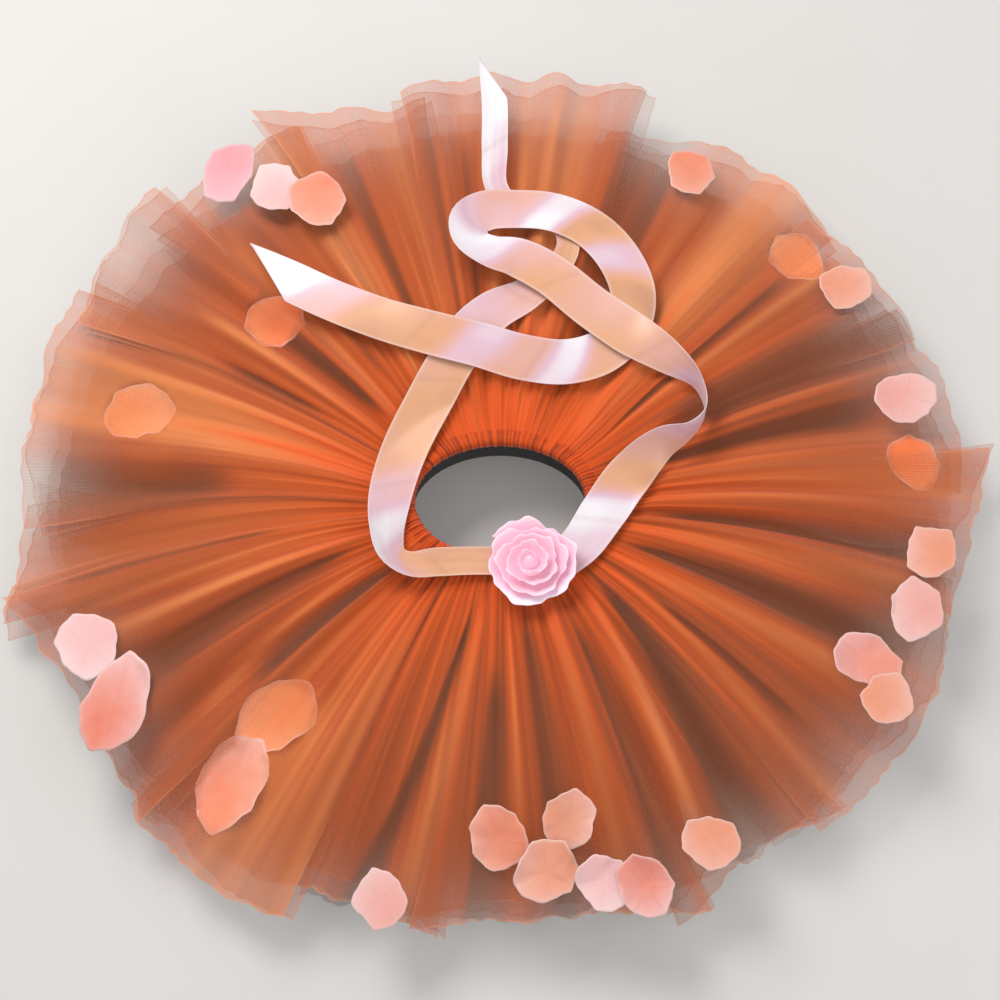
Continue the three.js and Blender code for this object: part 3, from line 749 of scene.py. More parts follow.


# Tulle

# Where the folds lie: direction in degrees at the waist and at the hem, half
# width in degrees at the waist and at the hem, how light (+) or dark (-) the fold is, and the
# reach where it begins and ends
# A fold's lightness is painted light and shade on the net; the same number also makes a light fold denser
# and a dark one sheerer, and on the top layer raises or lowers it
foldTable = np.array([
    [-1, 2, 3, 2, 0.24, 0, 1.1], [9, 5, 2.5, 3, 0.22, 0, 1.1], [13, 11.5, 1.8, 2.4, 0.36, 0.05, 0.95],
    [15.5, 17, 1.8, 4.2, -0.58, 0.12, 0.82], [19.5, 21.5, 1, 1.3, 0.32, 0.08, 1],
    [28, 28, 5, 6.5, -0.36, 0.2, 1.1], [35.5, 37.6, 1.2, 1.3, 0.36, 0.05, 0.95],
    [38, 41.5, 0.8, 1.5, -0.52, 0.1, 0.8], [49, 50, 5, 7.5, 0.5, 0, 1.1],
    [56, 57, 1.2, 1.5, -0.16, 0.3, 0.9], [64, 65, 2.2, 3.4, -0.4, 0.15, 1.1],
    [72, 71, 2, 3.2, -0.16, 0.4, 1.1], [80, 80, 4.5, 5, 0.42, 0, 1.1],
    [86.5, 86.5, 1.2, 1.3, 0.24, 0.05, 1.1], [91, 91, 2.5, 2.5, 0.2, 0, 1.1],
    [96, 95, 0.9, 1.6, -0.3, 0.1, 0.9], [101, 100, 1.2, 1.6, -0.26, 0.2, 1],
    [105, 105.5, 2, 2.2, 0.2, 0, 1.1], [112.5, 112, 1.4, 2.2, -0.34, 0.15, 0.95],
    [118.5, 121, 2.5, 3.5, 0.34, 0, 1.1], [128, 130, 1.6, 2.4, -0.22, 0.2, 0.9],
    [134, 133, 1.6, 2, 0.28, 0, 0.9], [138, 139.5, 1.8, 3.8, -0.54, 0.12, 0.64],
    [147, 145.5, 1, 1.3, 0.34, 0.05, 0.75], [151, 151, 0.8, 1.2, -0.48, 0.25, 0.62],
    [154, 153, 2, 2.5, 0.14, 0.5, 1.1], [160, 158.4, 1.3, 1.7, 0.38, 0, 1.1],
    [167, 164.5, 4.5, 6, 0.58, 0, 1.1], [175, 175.5, 2.5, 5.5, -0.4, 0.42, 1.1],
    [187, 186, 2.5, 3, 0.14, 0, 1.1], [191, 190, 0.8, 0.9, -0.4, 0.3, 0.95],
    [196, 193.5, 1.5, 2, 0.2, 0.1, 1], [198, 195.8, 1.5, 2, -0.18, 0.5, 1],
    [200, 199.3, 1.3, 1.6, 0.4, 0.05, 1], [203, 206, 1.5, 4.2, -0.52, 0.15, 0.82],
    [208, 217.5, 1.5, 2.6, -0.12, 0.2, 1.1], [212, 219.5, 1.1, 1.5, 0.28, 0.1, 0.75],
    [220, 220, 2.4, 3.4, -0.58, 0.08, 0.58], [226, 224.5, 1.2, 1.5, 0.32, 0.1, 0.75],
    [231, 233, 3, 5.5, 0.36, 0.45, 1.1], [233, 237, 2.5, 4, 0.24, 0, 1.1],
    [241, 242.5, 1.6, 2.5, 0.34, 0.1, 1.1], [260, 248.5, 1.3, 2.3, -0.52, 0.1, 0.95],
    [264, 256, 1.8, 2.6, 0.3, 0.05, 1], [269, 266, 2, 3.6, -0.36, 0.25, 1.1],
    [273.5, 273, 1.2, 1.5, 0.22, 0.1, 1], [278, 278, 1.8, 3.2, -0.34, 0.1, 1],
    [289, 286.5, 1.8, 2.2, 0.38, 0, 1], [296, 292, 1.3, 2.2, -0.34, 0.15, 1],
    [308, 296, 1.5, 1.9, 0.36, 0, 1], [313, 303, 2, 5.5, -0.5, 0.12, 1.1],
    [317, 311, 1.5, 3, 0.1, 0.2, 1.1], [320, 317, 1.1, 1.4, 0.34, 0.05, 1],
    [321.5, 321.5, 0.9, 1.3, -0.48, 0.25, 0.75], [325, 325.5, 1.5, 3.5, -0.1, 0.3, 1.1],
    [328, 333.5, 1.8, 2.4, 0.38, 0, 1], [335, 339, 1.6, 4.4, -0.56, 0.1, 0.9],
    [345, 348.5, 1.6, 2.2, 0.34, 0, 1], [352, 353.5, 1.2, 1.8, -0.46, 0.15, 0.9],
])


# Widths of a fold's two sides, as shares of its half width, and the reach that its ends fade over
foldShape = {
    "darkShort": 0.4,
    "lightShort": 0.8,
    "long": 1.1,
    "begins": 0.12,
    "ends": 0.14,
    "past": 0.02,
}


def awayFrom(turn, direction):
    # Degrees between a direction and a turn, from -180 to 180
    return (np.degrees(turn) - direction + 180) % 360 - 180


def foldTone(turn, reach):
    # Sum of the listed folds, each a bell across its direction, faded in and out along the
    # reach. A dark fold is cut off short on one side, where the next pleat lies over it
    total = np.zeros(np.broadcast(turn, reach).shape)
    for index, (waist, hem, narrow, wide, tone, start, end) in enumerate(foldTable):
        away = awayFrom(turn, mix(waist, hem, reach))
        side = 1 if index % 2 else -1
        short = foldShape["darkShort" if tone < 0 else "lightShort"]
        width = np.where(away * side > 0, short, foldShape["long"])
        height = bell(away / mix(narrow, wide, reach), width)
        begun = smoothStep(start - foldShape["past"], start + foldShape["begins"], reach)
        ended = smoothStep(end - foldShape["ends"], end + foldShape["past"], reach)
        total += tone * height * (begun * (1 - ended))
    return total


def ridge(phase):
    # A narrow crest and a wide valley each turn, from 1 down to -1
    return 1 - 2 * np.abs(np.sin(phase / 2)) ** 0.8


# How many gathers go round, and how high they stand
gatherCounts = {"close": 118, "wide": 61, "hem": 47}
gatherHeights = {"close": 0.55, "wide": 0.75, "hem": 0.40}


def fineFolds(turn, reach, seed):
    # Gathers: many narrow crests near the waist, which run together into fewer as they spread
    drift = waves(turn, (2.2, 2, seed), (1.3, 9, 2 * seed), (0.8, 17, seed))
    bend = 2.0 * reach * np.sin(5 * turn + 3 * seed)
    close = ridge(gatherCounts["close"] * turn + 2 * drift) * bell(reach, 0.26)
    wide = ridge(gatherCounts["wide"] * turn + drift + bend) * bell(reach - 0.34, 0.34)
    hem = np.cos(gatherCounts["hem"] * turn + 3 * drift + 5 * bend) * smoothStep(0.55, 1.0, reach)
    return gatherHeights["close"] * close + gatherHeights["wide"] * wide + gatherHeights["hem"] * hem


# Random values round the waist, round the middle and round the hem
streakCounts = (420, 560, 460)


def streaks(turn, reach, seed):
    # Random lightness from -1 to 1 that runs out from the waist in soft lines: rings of random
    # values, each faded into the next
    random = np.random.default_rng(int(seed * 10) + 3)
    total = 0
    for ring, count in enumerate(streakCounts):
        values = random.uniform(-1, 1, count)
        values = (values + 0.6 * np.repeat(random.uniform(-1, 1, count // 5), 5)) / 1.3
        knots = np.linspace(0, 2 * np.pi, count, endpoint=False)
        weight = np.clip(1 - np.abs(reach * 2 - ring), 0, 1)
        total = total + weight * np.interp(turn, knots, values, period=2 * np.pi)
    return total


# Panels of the top layer where one thickness of net lies alone: direction and half width in
# degrees, the reach where it starts, and how much thinner it looks
sheerTable = [
    (19, 7, 0.72, 0.25), (68, 4, 0.80, 0.35), (143, 7, 0.72, 0.35), (176, 6, 0.50, 0.40),
    (206, 6, 0.70, 0.25), (296, 6, 0.65, 0.20), (318, 9, 0.65, 0.30), (344, 7, 0.60, 0.30),
]


def sheerPanels(turn, reach):
    # The panels' bells across their direction, risen past where they start; at most one half
    total = 0
    for middle, half, start, share in sheerTable:
        begun = smoothStep(start - 0.1, start + 0.15, reach)
        total = total + share * bell(awayFrom(turn, middle), half) * begun
    return np.minimum(total, 0.5)


def overPetals(x, y):
    # 1 over a petal that lies under the top layer, where the net is stretched thin, and 0 away from
    # it. The thin place lies a little before the petal, which is lower and seen at a slant
    x, y = x * tulleCut["petalInward"], y + tulleCut["petalBefore"]
    shares = [petalShare(row, x, y) for row in petalTable if row[4] == "middle"]
    return 1 - smoothStep(0.8, 1.05, np.minimum.reduce(shares))


tulleCut = {
    "sheets": {
        # solid at the hem, painted lightness, which is lower for the deeper sheets as painted shade, how
        # far under the layer's surface, hem shift, drift of the gathers, how many columns past the strip's
        # ends
        "top": [(0.40, 0.50, 0.0, 0, 0.0, 1.0), (0.27, 0.42, 2.4, -6, 2.3, 1.6)],
        "middle": [(0.58, 0.40, 0.0, 0, 4.1, 1.0)],
        "base": [(0.86, 0.30, 0.0, 0, 6.4, 0.0)],
    },
    "acrossPerDegree": {"top": 4.2, "middle": 2.4, "base": 1.6},
    "rows": {"top": 46, "middle": 34, "base": 30},
    "hemWave": 1.4,
    "hemNick": 0.6,
    "edgeWidth": 1.0,
    "sideFade": 0.9,
    "reliefTop": 2.2,
    "hemRagged": 5,
    "innerHemFade": 0.75,
    "neckHeight": 48.3,
    "neckGathers": 0.5,
    "neckEnd": 0.17,
    "underTies": 0.25,
    "floorGap": 0.35,
    "floorRipple": 0.25,
    "petalInward": 1.012,
    "petalBefore": 6.5,
    "petalThinner": 0.62,
    "foldSolid": 0.6,
    "foldShare": {"top": 1.1, "middle": 0.85, "base": 0.5},
    "gatherHeight": {"top": 0.8, "middle": 0.6, "base": 0.6},
    "gatherSolid": 0.09,
    # painted light: the gather crests are painted lighter and their hollows more shaded
    "gatherLight": 0.12,
    "streakSolid": 0.06,
    "streakLight": 0.13,
    # painted shade: the net is shaded a little towards this direction, in degrees
    "shadySide": 315,
    "shadyShare": 0.08,
    "fanShare": 0.62,  # of a strip's flat rectangle, what is left where it narrows to the waist
}


def closeEnds(count, margin):
    # Shares from 0 to 1, with extra close ones beside both ends
    ends = np.array([0, 0.4, 1.0]) * margin
    return np.concatenate([ends, np.linspace(1.8 * margin, 1 - 1.8 * margin, count), 1 - ends[::-1]])


def fanSide(layer, index, column):
    # Over (1) or under (-1) the neighbours at each end, and evenly from one to the other between
    strips = layer["strips"]
    start, end, _, _, _, over = strips[index]
    before = strips[index - 1][5]
    return mix(-before, over, np.clip((column - start - 1) / (end - start - 2), 0, 1))


def tulleSheet(key, index, sheet):
    # One sheet of a strip: columns go round the waist from the strip's first to its last, rows run
    # from the waist to the hem. Its height is the layer's row height plus pleats, fan, lift and
    # gathers, kept below the surface that the ties lie on
    layer = layers[key]
    # light is the sheet's painted lightness, lower for the deeper sheets as painted shade
    solid, light, drop, hemShift, seed, past = sheet
    start, end, startHem, midHem, endHem = layer["strips"][index][:5]
    step = 2 * math.pi / layer["columns"]
    span = (end - start + 2 * past) * math.degrees(step)
    share = closeEnds(int(span * tulleCut["acrossPerDegree"][key]), 0.35 / span)[None, :]
    column = mix(start - past, end + past, share)
    turn = column * step
    place = (column - start) / (end - start)
    hem = mix(startHem, endHem, place) + (midHem - (startHem + endHem) / 2) * 4 * place * (1 - place)
    hem = hem + hemShift + tulleCut["hemWave"] * np.sin(31 * turn + 3 * seed + 2 * np.sin(13 * turn))
    hem = hem + tulleCut["hemNick"] * np.sin(113 * turn + 3 * np.sin(19 * turn + seed))
    if drop > 0:
        hem = hem + tulleCut["hemRagged"] * np.sin(2.4 * index + 9 * turn)
    along = closeEnds(tulleCut["rows"][key], 0.008)[:, None]
    reach = along * reachOfHem(hem, turn)
    # the strip's side edges wander a little on their way out
    turn = turn + 0.3 * step * (2 * share - 1) ** 9 * np.sin(7 * reach + 5 * seed + index)
    x, y = planPoint(reach, turn)
    side = 0 if key == "base" else fanSide(layer, index, column)
    pleat = alongRows(layer["rows"], 2, reach) * pleatWave(turn, layer["pleats"])
    fan = side * alongRows(layer["rows"], 3, reach)
    gathers = fineFolds(turn, reach, seed)
    tone = foldTone(turn, reach) * tulleCut["foldShare"][key]
    relief = tulleCut["reliefTop"] * tone * smoothStep(0.05, 0.3, reach) if key == "top" else 0
    floorShare = smoothStep(0.3, 0.62, reach) if key == "base" else 0
    z = slopeAt(layer, reach, turn) + pleat + fan + relief + skirtPlan["tulleWall"] / 2 - drop
    z = z + gathers * (1 - floorShare) * tulleCut["gatherHeight"][key]
    if key == "top":
        neck = tulleCut["neckHeight"] - drop + tulleCut["neckGathers"] * gathers
        z = mix(neck, z, smoothStep(0, tulleCut["neckEnd"], reach))
    if key == "base":
        ripple = tulleCut["floorRipple"] * (1 + np.sin(40 * turn + 9 * reach))
        z = np.maximum(z, tulleCut["floorGap"] + ripple)
    else:
        z = np.minimum(z, crestAt(reach, turn) - tulleCut["underTies"] - drop)
    radius = np.hypot(x, y)
    fullness = np.maximum(radius[-1:] / radius, 1)
    lines = streaks(turn, reach, seed)
    dense = 1 - (1 - solid) ** fullness
    dense = dense * (1 + tulleCut["foldSolid"] * tone) + tulleCut["gatherSolid"] * (gathers + 0.3)
    dense = dense + tulleCut["streakSolid"] * lines
    if key != "base":
        fromSide = np.minimum(share, 1 - share) * (end - start + 2 * past)
        dense = dense * mix(smoothStep(0, tulleCut["sideFade"], fromSide), 1, smoothStep(0.6, 0.9, reach))
    if key == "top":
        dense = dense * (1 - sheerPanels(turn, reach)) * (1 - tulleCut["petalThinner"] * overPetals(x, y))
    else:
        dense = dense * (1 - tulleCut["innerHemFade"] * smoothStep(0.7, 1, along))
    fromHem = radius[-1:] - radius
    sideAway = np.minimum(share, 1 - share) * np.radians(span) * radius
    sideEdge = 0.6 * bell(sideAway, tulleCut["edgeWidth"]) * smoothStep(0.6, 0.95, reach)
    # the edge share is painted as a pale highlight, and also makes the net a little more solid
    edge = np.maximum(bell(fromHem, tulleCut["edgeWidth"]), sideEdge) * (1.0 if key == "top" else 0.3)
    # painted light and shade: the sheet's lightness plus the fold's tone, with gather crests painted
    # lighter and random streaks
    shade = light + tone + tulleCut["gatherLight"] * gathers + tulleCut["streakLight"] * lines
    # painted shade, a little more towards shadySide
    shade = shade - tulleCut["shadyShare"] * np.cos(turn - math.radians(tulleCut["shadySide"]))
    cloth = stacked(np.clip(dense, 0.03, 1), np.clip(shade, 0, 1), edge)
    across = (turn - turn.min()) * radius[-1:]
    uv = stacked(across * toMetres + seed, fromHem * toMetres)
    return {"points": stacked(x, y, z), "uv": uv, "cloth": cloth}


def makeTulle(key, material):
    # One piece for each strip, made from all of its sheets, whose areas are added up
    for index in range(len(layers[key]["strips"])):
        node = f"tulle_{key}_{index + 1:02d}"
        grids = [tulleSheet(key, index, sheet) for sheet in tulleCut["sheets"][key]]
        piece = settle(pieceFrom(f"{key}_tulle_{index + 1:02d}", grids, material), [node])
        area = sum(gridArea(grid) for grid in grids)


makeTulle("base", tulleBase)
makeTulle("middle", tulleMiddle)
makeTulle("top", tulleTop)
print("tulle strips made")


# Waistband: elastic band and the tulle's heading over it

band = {
    "halfWidth": 48.2,
    "halfDepth": 34.2,
    "thickness": 1.4,
    "bottom": 26,
    "top": 46.1,
    "ribs": 7,
    "gathers": 44,
    "gatherOut": 0.45,
    "gatherUp": 0.55,
    "meanRadius": 41,
    "headingLimit": 50.7,
    "headingLength": 0.33,
}

# Heading section: distance out from the band's inner face, height, and share of the gathers
headingRows = np.array([
    [-0.6, 42.6, 0.2], [-1.5, 43.6, 0.9], [-1.9, 46.0, 1.0], [-1.3, 48.2, 1.0], [0.4, 49.4, 1.0],
    [2.8, 49.6, 1.0], [5.6, 48.9, 1.0], [8.5, 48.0, 1.0], [11.5, 46.6, 0.8], [14.0, 45.0, 0.6],
])


def bandPlan(distance, turn):
    # The band's oval, widened all round by a distance
    return (band["halfWidth"] + distance) * np.cos(turn), (band["halfDepth"] + distance) * np.sin(turn)


def makeElastic():
    # An upright oval band: its section is a flat rectangle with ribs round its long faces
    turn = around(360)
    rise = outwards(30)
    rib = 0.5 + 0.5 * np.cos(2 * np.pi * band["ribs"] * rise)
    face = band["thickness"] / 2 - 0.15 * rib
    outward = np.concatenate([face, -face[::-1], face[:1]])
    height = np.concatenate([rise, rise[::-1], rise[:1]])
    ribs = np.concatenate([rib, rib[::-1], rib[:1]])
    x, y = bandPlan(band["thickness"] / 2 + outward * 0.98, turn)
    z = mix(band["bottom"], band["top"], height) + 0.075 * np.sin(96 * turn) * (height - 0.5)
    uv = stacked(turn * band["meanRadius"] * toMetres, z * toMetres + outward)
    cloth = stacked(ribs + 0 * turn, 0, 0)
    # the rows are taken backwards, so that the faces look out of the band
    grid = {"points": stacked(x, y, z)[::-1], "uv": uv[::-1], "cloth": cloth[::-1], "wrapped": True}
    settle(pieceFrom("elastic_band", [grid], elasticMaterial()), ["waist_elastic"])


def makeHeading():
    # The heading's section carried round the waist, with narrow crests of gathered net
    turn = around(900)
    share = np.linspace(0, len(headingRows) - 1, 44)
    table = np.column_stack([np.arange(len(headingRows)), headingRows])
    distance, height, gather = (alongRows(table, i, share)[:, None] for i in (1, 2, 3))
    drift = waves(turn, (1.2, 3, 0), (0.9, 11, 1), (0.6, 23, 0))
    wave = fineFolds(turn, 0, 0) * 1.3 + ridge(band["gathers"] * turn + drift) * 0.35
    middle = band["thickness"] / 2
    swell = np.sign(distance - middle) * gather * wave * band["gatherOut"]
    radial = swell * (1 - smoothStep(4, 9, distance))
    x, y = bandPlan(distance + radial, turn)
    z = height + gather * wave * band["gatherUp"] * smoothStep(-1, 1.5, distance)
    points = stacked(x, y, np.minimum(z, band["headingLimit"]))
    # painted light and shade: the heading's gather crests painted lighter and hollows more shaded, with
    # random streaks
    tone = 0.50 + 0.22 * wave + 0.12 * streaks(turn, 0, 0) + 0 * distance
    cloth = stacked(1, np.clip(tone, 0, 1), 0)
    uv = stacked(turn * band["meanRadius"] * toMetres, distance * toMetres)
    grid = {"points": points, "uv": uv, "cloth": cloth, "wrapped": True}
    piece = settle(pieceFrom("gathered_heading", [grid], tulleTop), ["tulle_heading"])
    flat = (band["headingLength"], gridArea(grid) / band["headingLength"])


makeElastic()
makeHeading()
print("waistband made")


# Satin ties

ribbonWidth = 25.4
ribbon = {
    "step": 2.5,
    "across": 13,
    "stand": 0.55,
    "thickness": 0.4,
    "slant": 8,
    "edgeCurl": 0.35,
    "ripple": 0.5,
    "rippleLength": 13,
    "rippleDrift": 41,
    "creaseEvery": 67,
    "creaseStart": 33,
    "creaseSlant": 6,
    "creaseWidth": 1.6,
}

# Rows: place of the ribbon's middle, lift off the tulle, width, roll of its left edge in degrees,
# and painted light from tan shade (-1) through pale pink (0) to white highlight (1)
full = ribbonWidth
leftRoute = np.array([
    [-2, -37, 0, 16, 0, -0.3], [-16, -37, 0, 16, 0, -0.5], [-34, -38, 0, 17, 6, -0.6],
    [-49, -40, 0, 18, 24, -0.3], [-58, -35, 0, 20, 40, 0.5], [-61, -21, 0, 22, 36, 0.95],
    [-59, 3, 0, 24, 10, 0.3], [-52, 28, 0, full, 0, -0.4], [-40, 54, 0, full, 0, -0.55],
    [-28, 77, 0, full, 0, -0.35], [-16, 96, 0, full, 0, 0.2], [-3, 108, 0, 24, 0, 0.3],
    [14, 117, 0, 20, 0, 0.1], [29, 130, 0, 15, 0, -0.3], [38, 146, 0, 13, 0, -0.5],
    [36, 158, 0, 12, 0, -0.2], [24, 167, 0, 12, 0, 0.0], [8, 173, 0, 12, 0, 0.2],
    [-2, 187, 0, 13, 0, 0.6], [-3, 215, 0, 15, 0, 0.85], [-3, 245, 0, 15, 0, 1.0],
    [-5, 278, 0, 15, 0, 0.9],
])
rightRoute = np.array([
    [32, -38, 0, 20, 0, 0.4], [44, -27, 0, 23, 0, 0.7], [56, -9, 0, full, 0, 0.95],
    [71, 12, 0, full, 8, -0.5], [88, 26, 0, 21, 46, -0.1], [103, 33, 0, 15, 76, 0.4],
    [112, 45, 0, 12, 90, 0.8], [108, 62, 0.4, 13, 104, 0.6], [93, 76, 1.6, 19, 146, -0.1],
    [72, 92, 2.8, full, 174, -0.35], [50, 109, 2.8, full, 180, -0.15], [28, 128, 2.8, full, 180, -0.35],
    [10, 138, 2.8, full, 184, 0.0], [-5, 141, 2.8, 24, 198, 0.8], [-16, 148, 2.8, 24, 208, 1.0],
    [-17, 160, 2.8, 24, 204, 0.5], [-8, 168, 2.8, 25, 190, 0.1], [9, 170, 2.8, full, 180, 0.1],
    [30, 168, 2.8, full, 180, 1.0], [51, 158, 1.6, full, 180, -0.6], [66, 141, 0.4, full, 180, 0.5],
    [74, 119, 0, full, 180, -0.7], [71, 98, 0, 24, 180, 0.1], [58, 84, 0, full, 180, -0.3],
    [38, 78, 0, full, 180, 0.9], [14, 80, 1.2, full, 180, -0.1], [-12, 87, 2.8, full, 180, 0.5],
    [-39, 94, 2.4, full, 180, -0.5], [-67, 103, 0.6, full, 180, -0.55], [-95, 115, 0, full, 180, 0.2],
    [-119, 128, 0, full, 180, 1.0], [-147, 143, 0, full, 180, 0.85],
])


def routeAt(points, position):
    # A smooth curve through points: on each span a cubic whose end slopes come from the spans
    # beside it, each weighted by the root of its length
    ends = np.concatenate([2 * points[:1] - points[1:2], points, 2 * points[-1:] - points[-2:-1]])
    i = np.clip(np.floor(position).astype(int), 0, len(points) - 2)
    before, start, end, after = (ends[i + k] for k in range(4))
    pairs = ((before, start), (start, end), (end, after))
    first, span, last = (np.sqrt(np.linalg.norm(b - a, axis=1))[:, None] for a, b in pairs)
    leave = ((start - before) / first - (end - before) / (first + span) + (end - start) / span) * span
    arrive = ((end - start) / span - (after - start) / (span + last) + (after - end) / last) * span
    t = (position - i)[:, None]
    return cubic(start, end, leave, arrive, t)


def softened(values, reachSteps):
    # A weighted mean of each value with its neighbours, so that nothing kinks between rows
    window = np.hanning(2 * reachSteps + 3)[1:-1]
    padded = np.pad(values, reachSteps, mode="edge")
    return np.convolve(padded, window / window.sum(), mode="valid")


def makeTie(name, node, route, cutLength):
    # The ribbon's flat width carried along its route: each station lies across the heading, is
    # rolled about its middle, and stands on the crest of the tulle under it
    fine = np.linspace(0, len(route) - 1, 60 * len(route))
    steps = np.linalg.norm(np.diff(routeAt(route[:, :3], fine), axis=0), axis=1)
    travelled = np.concatenate([[0], np.cumsum(steps)])
    length = travelled[-1]
    distance = np.linspace(0, length, int(length / ribbon["step"]))
    position = np.interp(distance, travelled, fine)
    centre = routeAt(route[:, :3], position)
    rows = np.arange(len(route))
    width, roll = (softened(np.interp(position, rows, route[:, i]), 3) for i in (3, 4))
    stepped = np.floor(position) + smoothStep(0.2, 0.8, position % 1)  # the painted light holds, then changes
    paintedLight = softened(np.interp(stepped, rows, route[:, 5]), 1)
    heading = np.gradient(centre[:, :2], axis=0)
    heading /= np.linalg.norm(heading, axis=1)[:, None]
    roll = np.radians(roll)[:, None]
    cut = np.clip(1 - (length - distance) / cutLength, 0, 0.985)[:, None]
    across = np.sin(np.linspace(-np.pi / 2, np.pi / 2, ribbon["across"]))[None, ::-1]
    side = 1 - (1 - across) * (1 - cut)
    half = width[:, None] / 2
    reachOut = side * half * np.cos(roll)
    x = centre[:, :1] - heading[:, 1:] * reachOut
    y = centre[:, 1:2] + heading[:, :1] * reachOut
    rise = half * (np.abs(np.sin(roll)) + side * np.sin(roll))
    phase = distance[:, None]
    curl = ribbon["edgeCurl"] * across**2
    wander = 2 * np.sin(phase / ribbon["rippleDrift"])
    swing = np.sin(phase / ribbon["rippleLength"] + wander)
    ripple = ribbon["ripple"] * (1 + swing * across * 0.7) / 2
    z = crestAt(*planPlace(x, y)) + ribbon["stand"] + centre[:, 2:] + rise + curl + ripple
    # painted shade: dark lines across the tie at its creases, and more shade where it is gathered narrow
    fromCrease = phase % ribbon["creaseEvery"] - ribbon["creaseStart"] + ribbon["creaseSlant"] * across
    crease = bell(fromCrease, ribbon["creaseWidth"]) * 0.5
    gatheredShare = np.clip(1 - half * 2 / ribbonWidth, 0, 1)
    crease = np.clip(crease + gatheredShare * (0.5 + 0.5 * np.cos(9 * across + phase / 30)), 0, 1)
    edge = bell((1 - np.abs(across)) * ribbonWidth / 2, 0.9)
    paintedLight = np.interp(phase + ribbon["slant"] * across, distance, paintedLight)
    # painted light: shade, reflections and highlights along the tie, one edge a little lighter
    cloth = stacked(np.clip(paintedLight * 0.5 + 0.5 + 0.06 * across, 0, 1), edge, crease)
    uv = stacked(across * ribbonWidth / 2 * toMetres, phase * toMetres)
    # rows run along the tie and columns from its left edge to its right: faces look up where it lies flat
    grid = {"points": stacked(x, y, z), "uv": uv, "cloth": cloth}
    piece = settle(pieceFrom(name, [grid], satin), [node])
    thicken(piece, ribbon["thickness"])
    print(name, "is", round(length), "mm long")


makeTie("left_tie", "ribbon_left", leftRoute, 28)
makeTie("right_tie", "ribbon_right", rightRoute, 38)
print("satin ties made")


# Rosette

rosette = {
    "place": (16, -41),
    "base": 52.4,
    "winds": 4.3,
    # inner and outer end of the wound ribbon: foot radius, rim radius, foot height, rim height, ruffle
    "inner": (1.0, 3.4, 12.0, 16.6, 0.5),
    "outer": (15.5, 26.4, 1.4, 8.4, 1.9),
    # bud that fills the middle, and foot under it: rows, columns, radius, unevenness, height, fall
    "bud": (12, 72, 4.4, 0.06, 13.6, 3.0),
    "foot": (6, 60, 13.5, 0.0, 1.0, 0.0),
    "flattened": 0.03,
    "thickness": 0.35,
}


def rosettePoints(radius, turn, height):
    # Points at a radius and a turn from the rosette's middle, and at a height over its base
    x, y = rosette["place"]
    return stacked(x + radius * np.cos(turn), y + radius * np.sin(turn), height + rosette["base"])


def woundRibbon():
    # Ribbon wound in a spiral that opens and sinks outwards; its rim is ruffled by waves whose
    # spacing fits no whole turn, so that no two winds match, and rolls over at its edge
    share = outwards(15)
    way = np.linspace(0, 1, 760)[None, :]
    turn = way * 2 * np.pi * rosette["winds"] + 0.6
    ends = zip(rosette["inner"], rosette["outer"])
    foot, rim, footHeight, rimHeight, ruffle = (mix(a, b, way**0.85) for a, b in ends)
    swing = waves(turn, (0.65, 3.27, 1), (0.5, 5.63, 2), (0.35, 10.9, 0), (0.15, 19.3, 0))
    wave = ruffle * share**1.5 * swing
    radius = mix(foot, rim, share**0.8) + wave
    radius = radius * (1 - rosette["flattened"] * np.maximum(0, np.sin(turn)) ** 3)
    height = mix(footHeight, rimHeight, share**1.3) + 0.8 * wave - 1.5 * share**7 * (0.6 + 0.4 * way)
    height = height - 1.6 * share * way * np.maximum(0, np.cos(2.1 * turn))
    # painted highlight: the near side of the outer winds is whitened, and rims and ruffle crests made paler
    near = smoothStep(0.1, 0.9, -np.sin(turn)) * smoothStep(0.6, 0.78, way) * smoothStep(0.2, 0.7, share)
    shade = share**1.5 * (0.6 + 0.25 * swing)
    cloth = stacked(np.clip(shade, 0, 1), near, bell(1 - share, 0.08))
    along = np.cumsum(radius[-1:] * toMetres * np.gradient(turn, axis=1), axis=1)
    points, uv = rosettePoints(radius, turn, height), stacked(along, share * 0.014)
    return {"points": points[::-1], "uv": uv[::-1], "cloth": cloth[::-1]}


def rosetteCap(rows, columns, size, uneven, top, fall):
    # A round cap whose crown is one point: its outline swells and shrinks twice a turn, and its
    # height falls with the square of the share from the middle
    share, turn = outwards(rows), around(columns)
    radius = size * share * (1 + uneven * np.cos(2 * turn + 5 * share))
    points = rosettePoints(radius, turn, top - fall * share**2)
    cloth, uv = points * 0 + np.array([0.3, 0, 0]), points[..., :2] * toMetres
    return {"points": points, "uv": uv, "cloth": cloth, "wrapped": True, "pole": True}


def makeRosette():
    # The wound ribbon, the bud in its middle and the foot under it, as one piece
    grids = [woundRibbon(), rosetteCap(*rosette["bud"]), rosetteCap(*rosette["foot"])]
    piece = settle(pieceFrom("rosette_ribbon", grids, rosetteRibbon), ["rosette"])
    thicken(piece, rosette["thickness"])


makeRosette()
print("rosette made")


# Petals

petal = {
    "rings": 12,
    "round": 60,
    "sides": 12,
    "notch": 0.16,
    "thickness": 0.25,
    "rest": 0.15,
    "level": 0.55,
    "press": 0.42,
    "aboveCad": 0.6,
    "cornered": 0.6,
    "curl": 0.9,
    "pressedTo": 1.17,
    "freeFrom": 1.5,
    "cutRoom": 1.12,
}


def cupAt(turn, aim):
    # How far a petal's rim rises, most at two opposite sides
    return 1.8 + 0.9 * np.cos(2 * turn + aim)


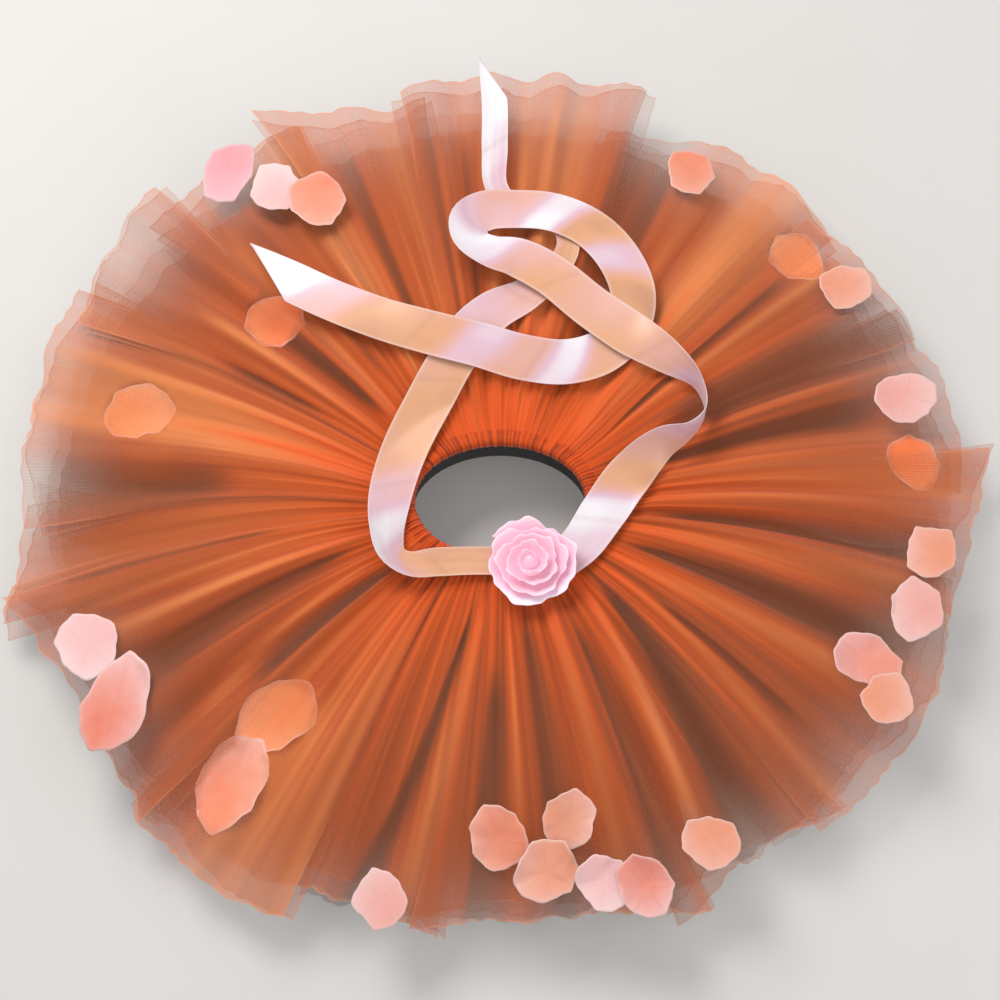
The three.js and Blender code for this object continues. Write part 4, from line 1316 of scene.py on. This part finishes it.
def makePetal(index, row):
    # A cupped disc with a few uneven corners: its rim is a polygon's outline softened into a
    # circle, it rises from the middle with the share's power 1.5, and creases run out to the rim
    x0, y0, size, aim, key, silk, corners, drawn = row
    layer = layers[key]
    random = np.random.default_rng(100 + index)
    cadTurn = np.arange(petal["sides"]) * 2 * np.pi / petal["sides"]
    notch = np.where(np.arange(petal["sides"]) == 0, petal["notch"], 0)
    cadRadius = size / 2 * (1 + 0.06 * np.cos(cadTurn) - notch)
    cadSpokes = (np.append(cadRadius * wave(cadTurn), 0) for wave in (np.cos, np.sin))
    cadX, cadY = turned(aim, *cadSpokes)
    cadHeight = slopeAt(layer, *planPlace(x0 + cadX, y0 + cadY)) + np.append(cupAt(cadTurn, aim), 0)
    node = f"petal_{index + 1:02d}"
    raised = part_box(node)[0][2] / toMetres - cadHeight.min()

    share, turn = outwards(petal["rings"]) ** 0.8, around(petal["round"])
    sector = 2 * np.pi / corners
    bent = turn + 0.3 * np.sin(turn + random.uniform(0, 6)) + random.uniform(0, sector)
    polygon = np.cos(sector / 2) / np.cos(bent % sector - sector / 2)
    outline = mix(1, polygon, petal["cornered"]) * (1.03 + 0.07 * np.sin(2 * turn + random.uniform(0, 6)))
    outline = outline + 0.04 * np.sin(3 * turn + random.uniform(0, 6)) + 0.015 * np.sin(11 * turn)
    radius = size / 2 * outline * share
    x, y = turned(aim, radius * np.cos(turn) * (1 + drawn), radius * np.sin(turn))
    x, y = x0 + x, y0 + y
    crease = np.cos(corners * turn + random.uniform(0, 6)) * share**2 * random.uniform(0.3, 0.8)
    bow = random.uniform(0.3, 0.9) * np.sin(np.pi * share) * np.cos(turn + random.uniform(0, 6))
    curl = petal["curl"] * share**6 * np.sin(3 * turn + random.uniform(0, 6))
    z = slopeAt(layer, *planPlace(x, y)) + raised + petal["aboveCad"]
    z = z + cupAt(turn, aim) * share**1.5 + crease + bow + curl
    if key == "top":  # clear of the pleats and of the petals under it, and pressed flat by those over it
        resting = crestAt(*planPlace(x, y)) + petal["rest"]
        z = np.maximum(z, resting + petal["level"] * petalLevel(index))
        for i, other in enumerate(petalTable[index + 1:], index + 1):
            if other[4] == key and petalLevel(i) > petalLevel(index):
                away = petalShare(other, x, y)
                covered = 1 - smoothStep(petal["pressedTo"], petal["freeFrom"], away)
                ceiling = resting + petal["level"] * petalLevel(i) - petal["press"]
                z = z - covered * np.maximum(0, z - ceiling)
    points = stacked(x, y, z)
    vein = bell(np.sin(turn * corners / 2 + random.uniform(0, 3)), 0.16) * share * (1 - share) * 2
    tinted = 0.3 + 0.45 * share**2 + 0.5 * share * np.cos(turn + random.uniform(0, 6))
    cloth = stacked(np.clip(tinted, 0, 1), np.clip(vein, 0, 1), bell(1 - share, 0.05))
    uv = stacked((x - x0) * toMetres + index, (y - y0) * toMetres)
    grid = {"points": points, "uv": uv, "cloth": cloth, "wrapped": True, "pole": True}
    piece = settle(pieceFrom(f"silk_petal_{index + 1:02d}", [grid], silks[silk]), [node])
    thicken(piece, petal["thickness"])
    area = gridArea(grid)
    wide = petal["cutRoom"] * size * toMetres
    flat = (wide, wide * (1 + drawn))
    min(area, flat[0] * flat[1])


for index, row in enumerate(petalTable):
    makePetal(index, row)
print("petals made")
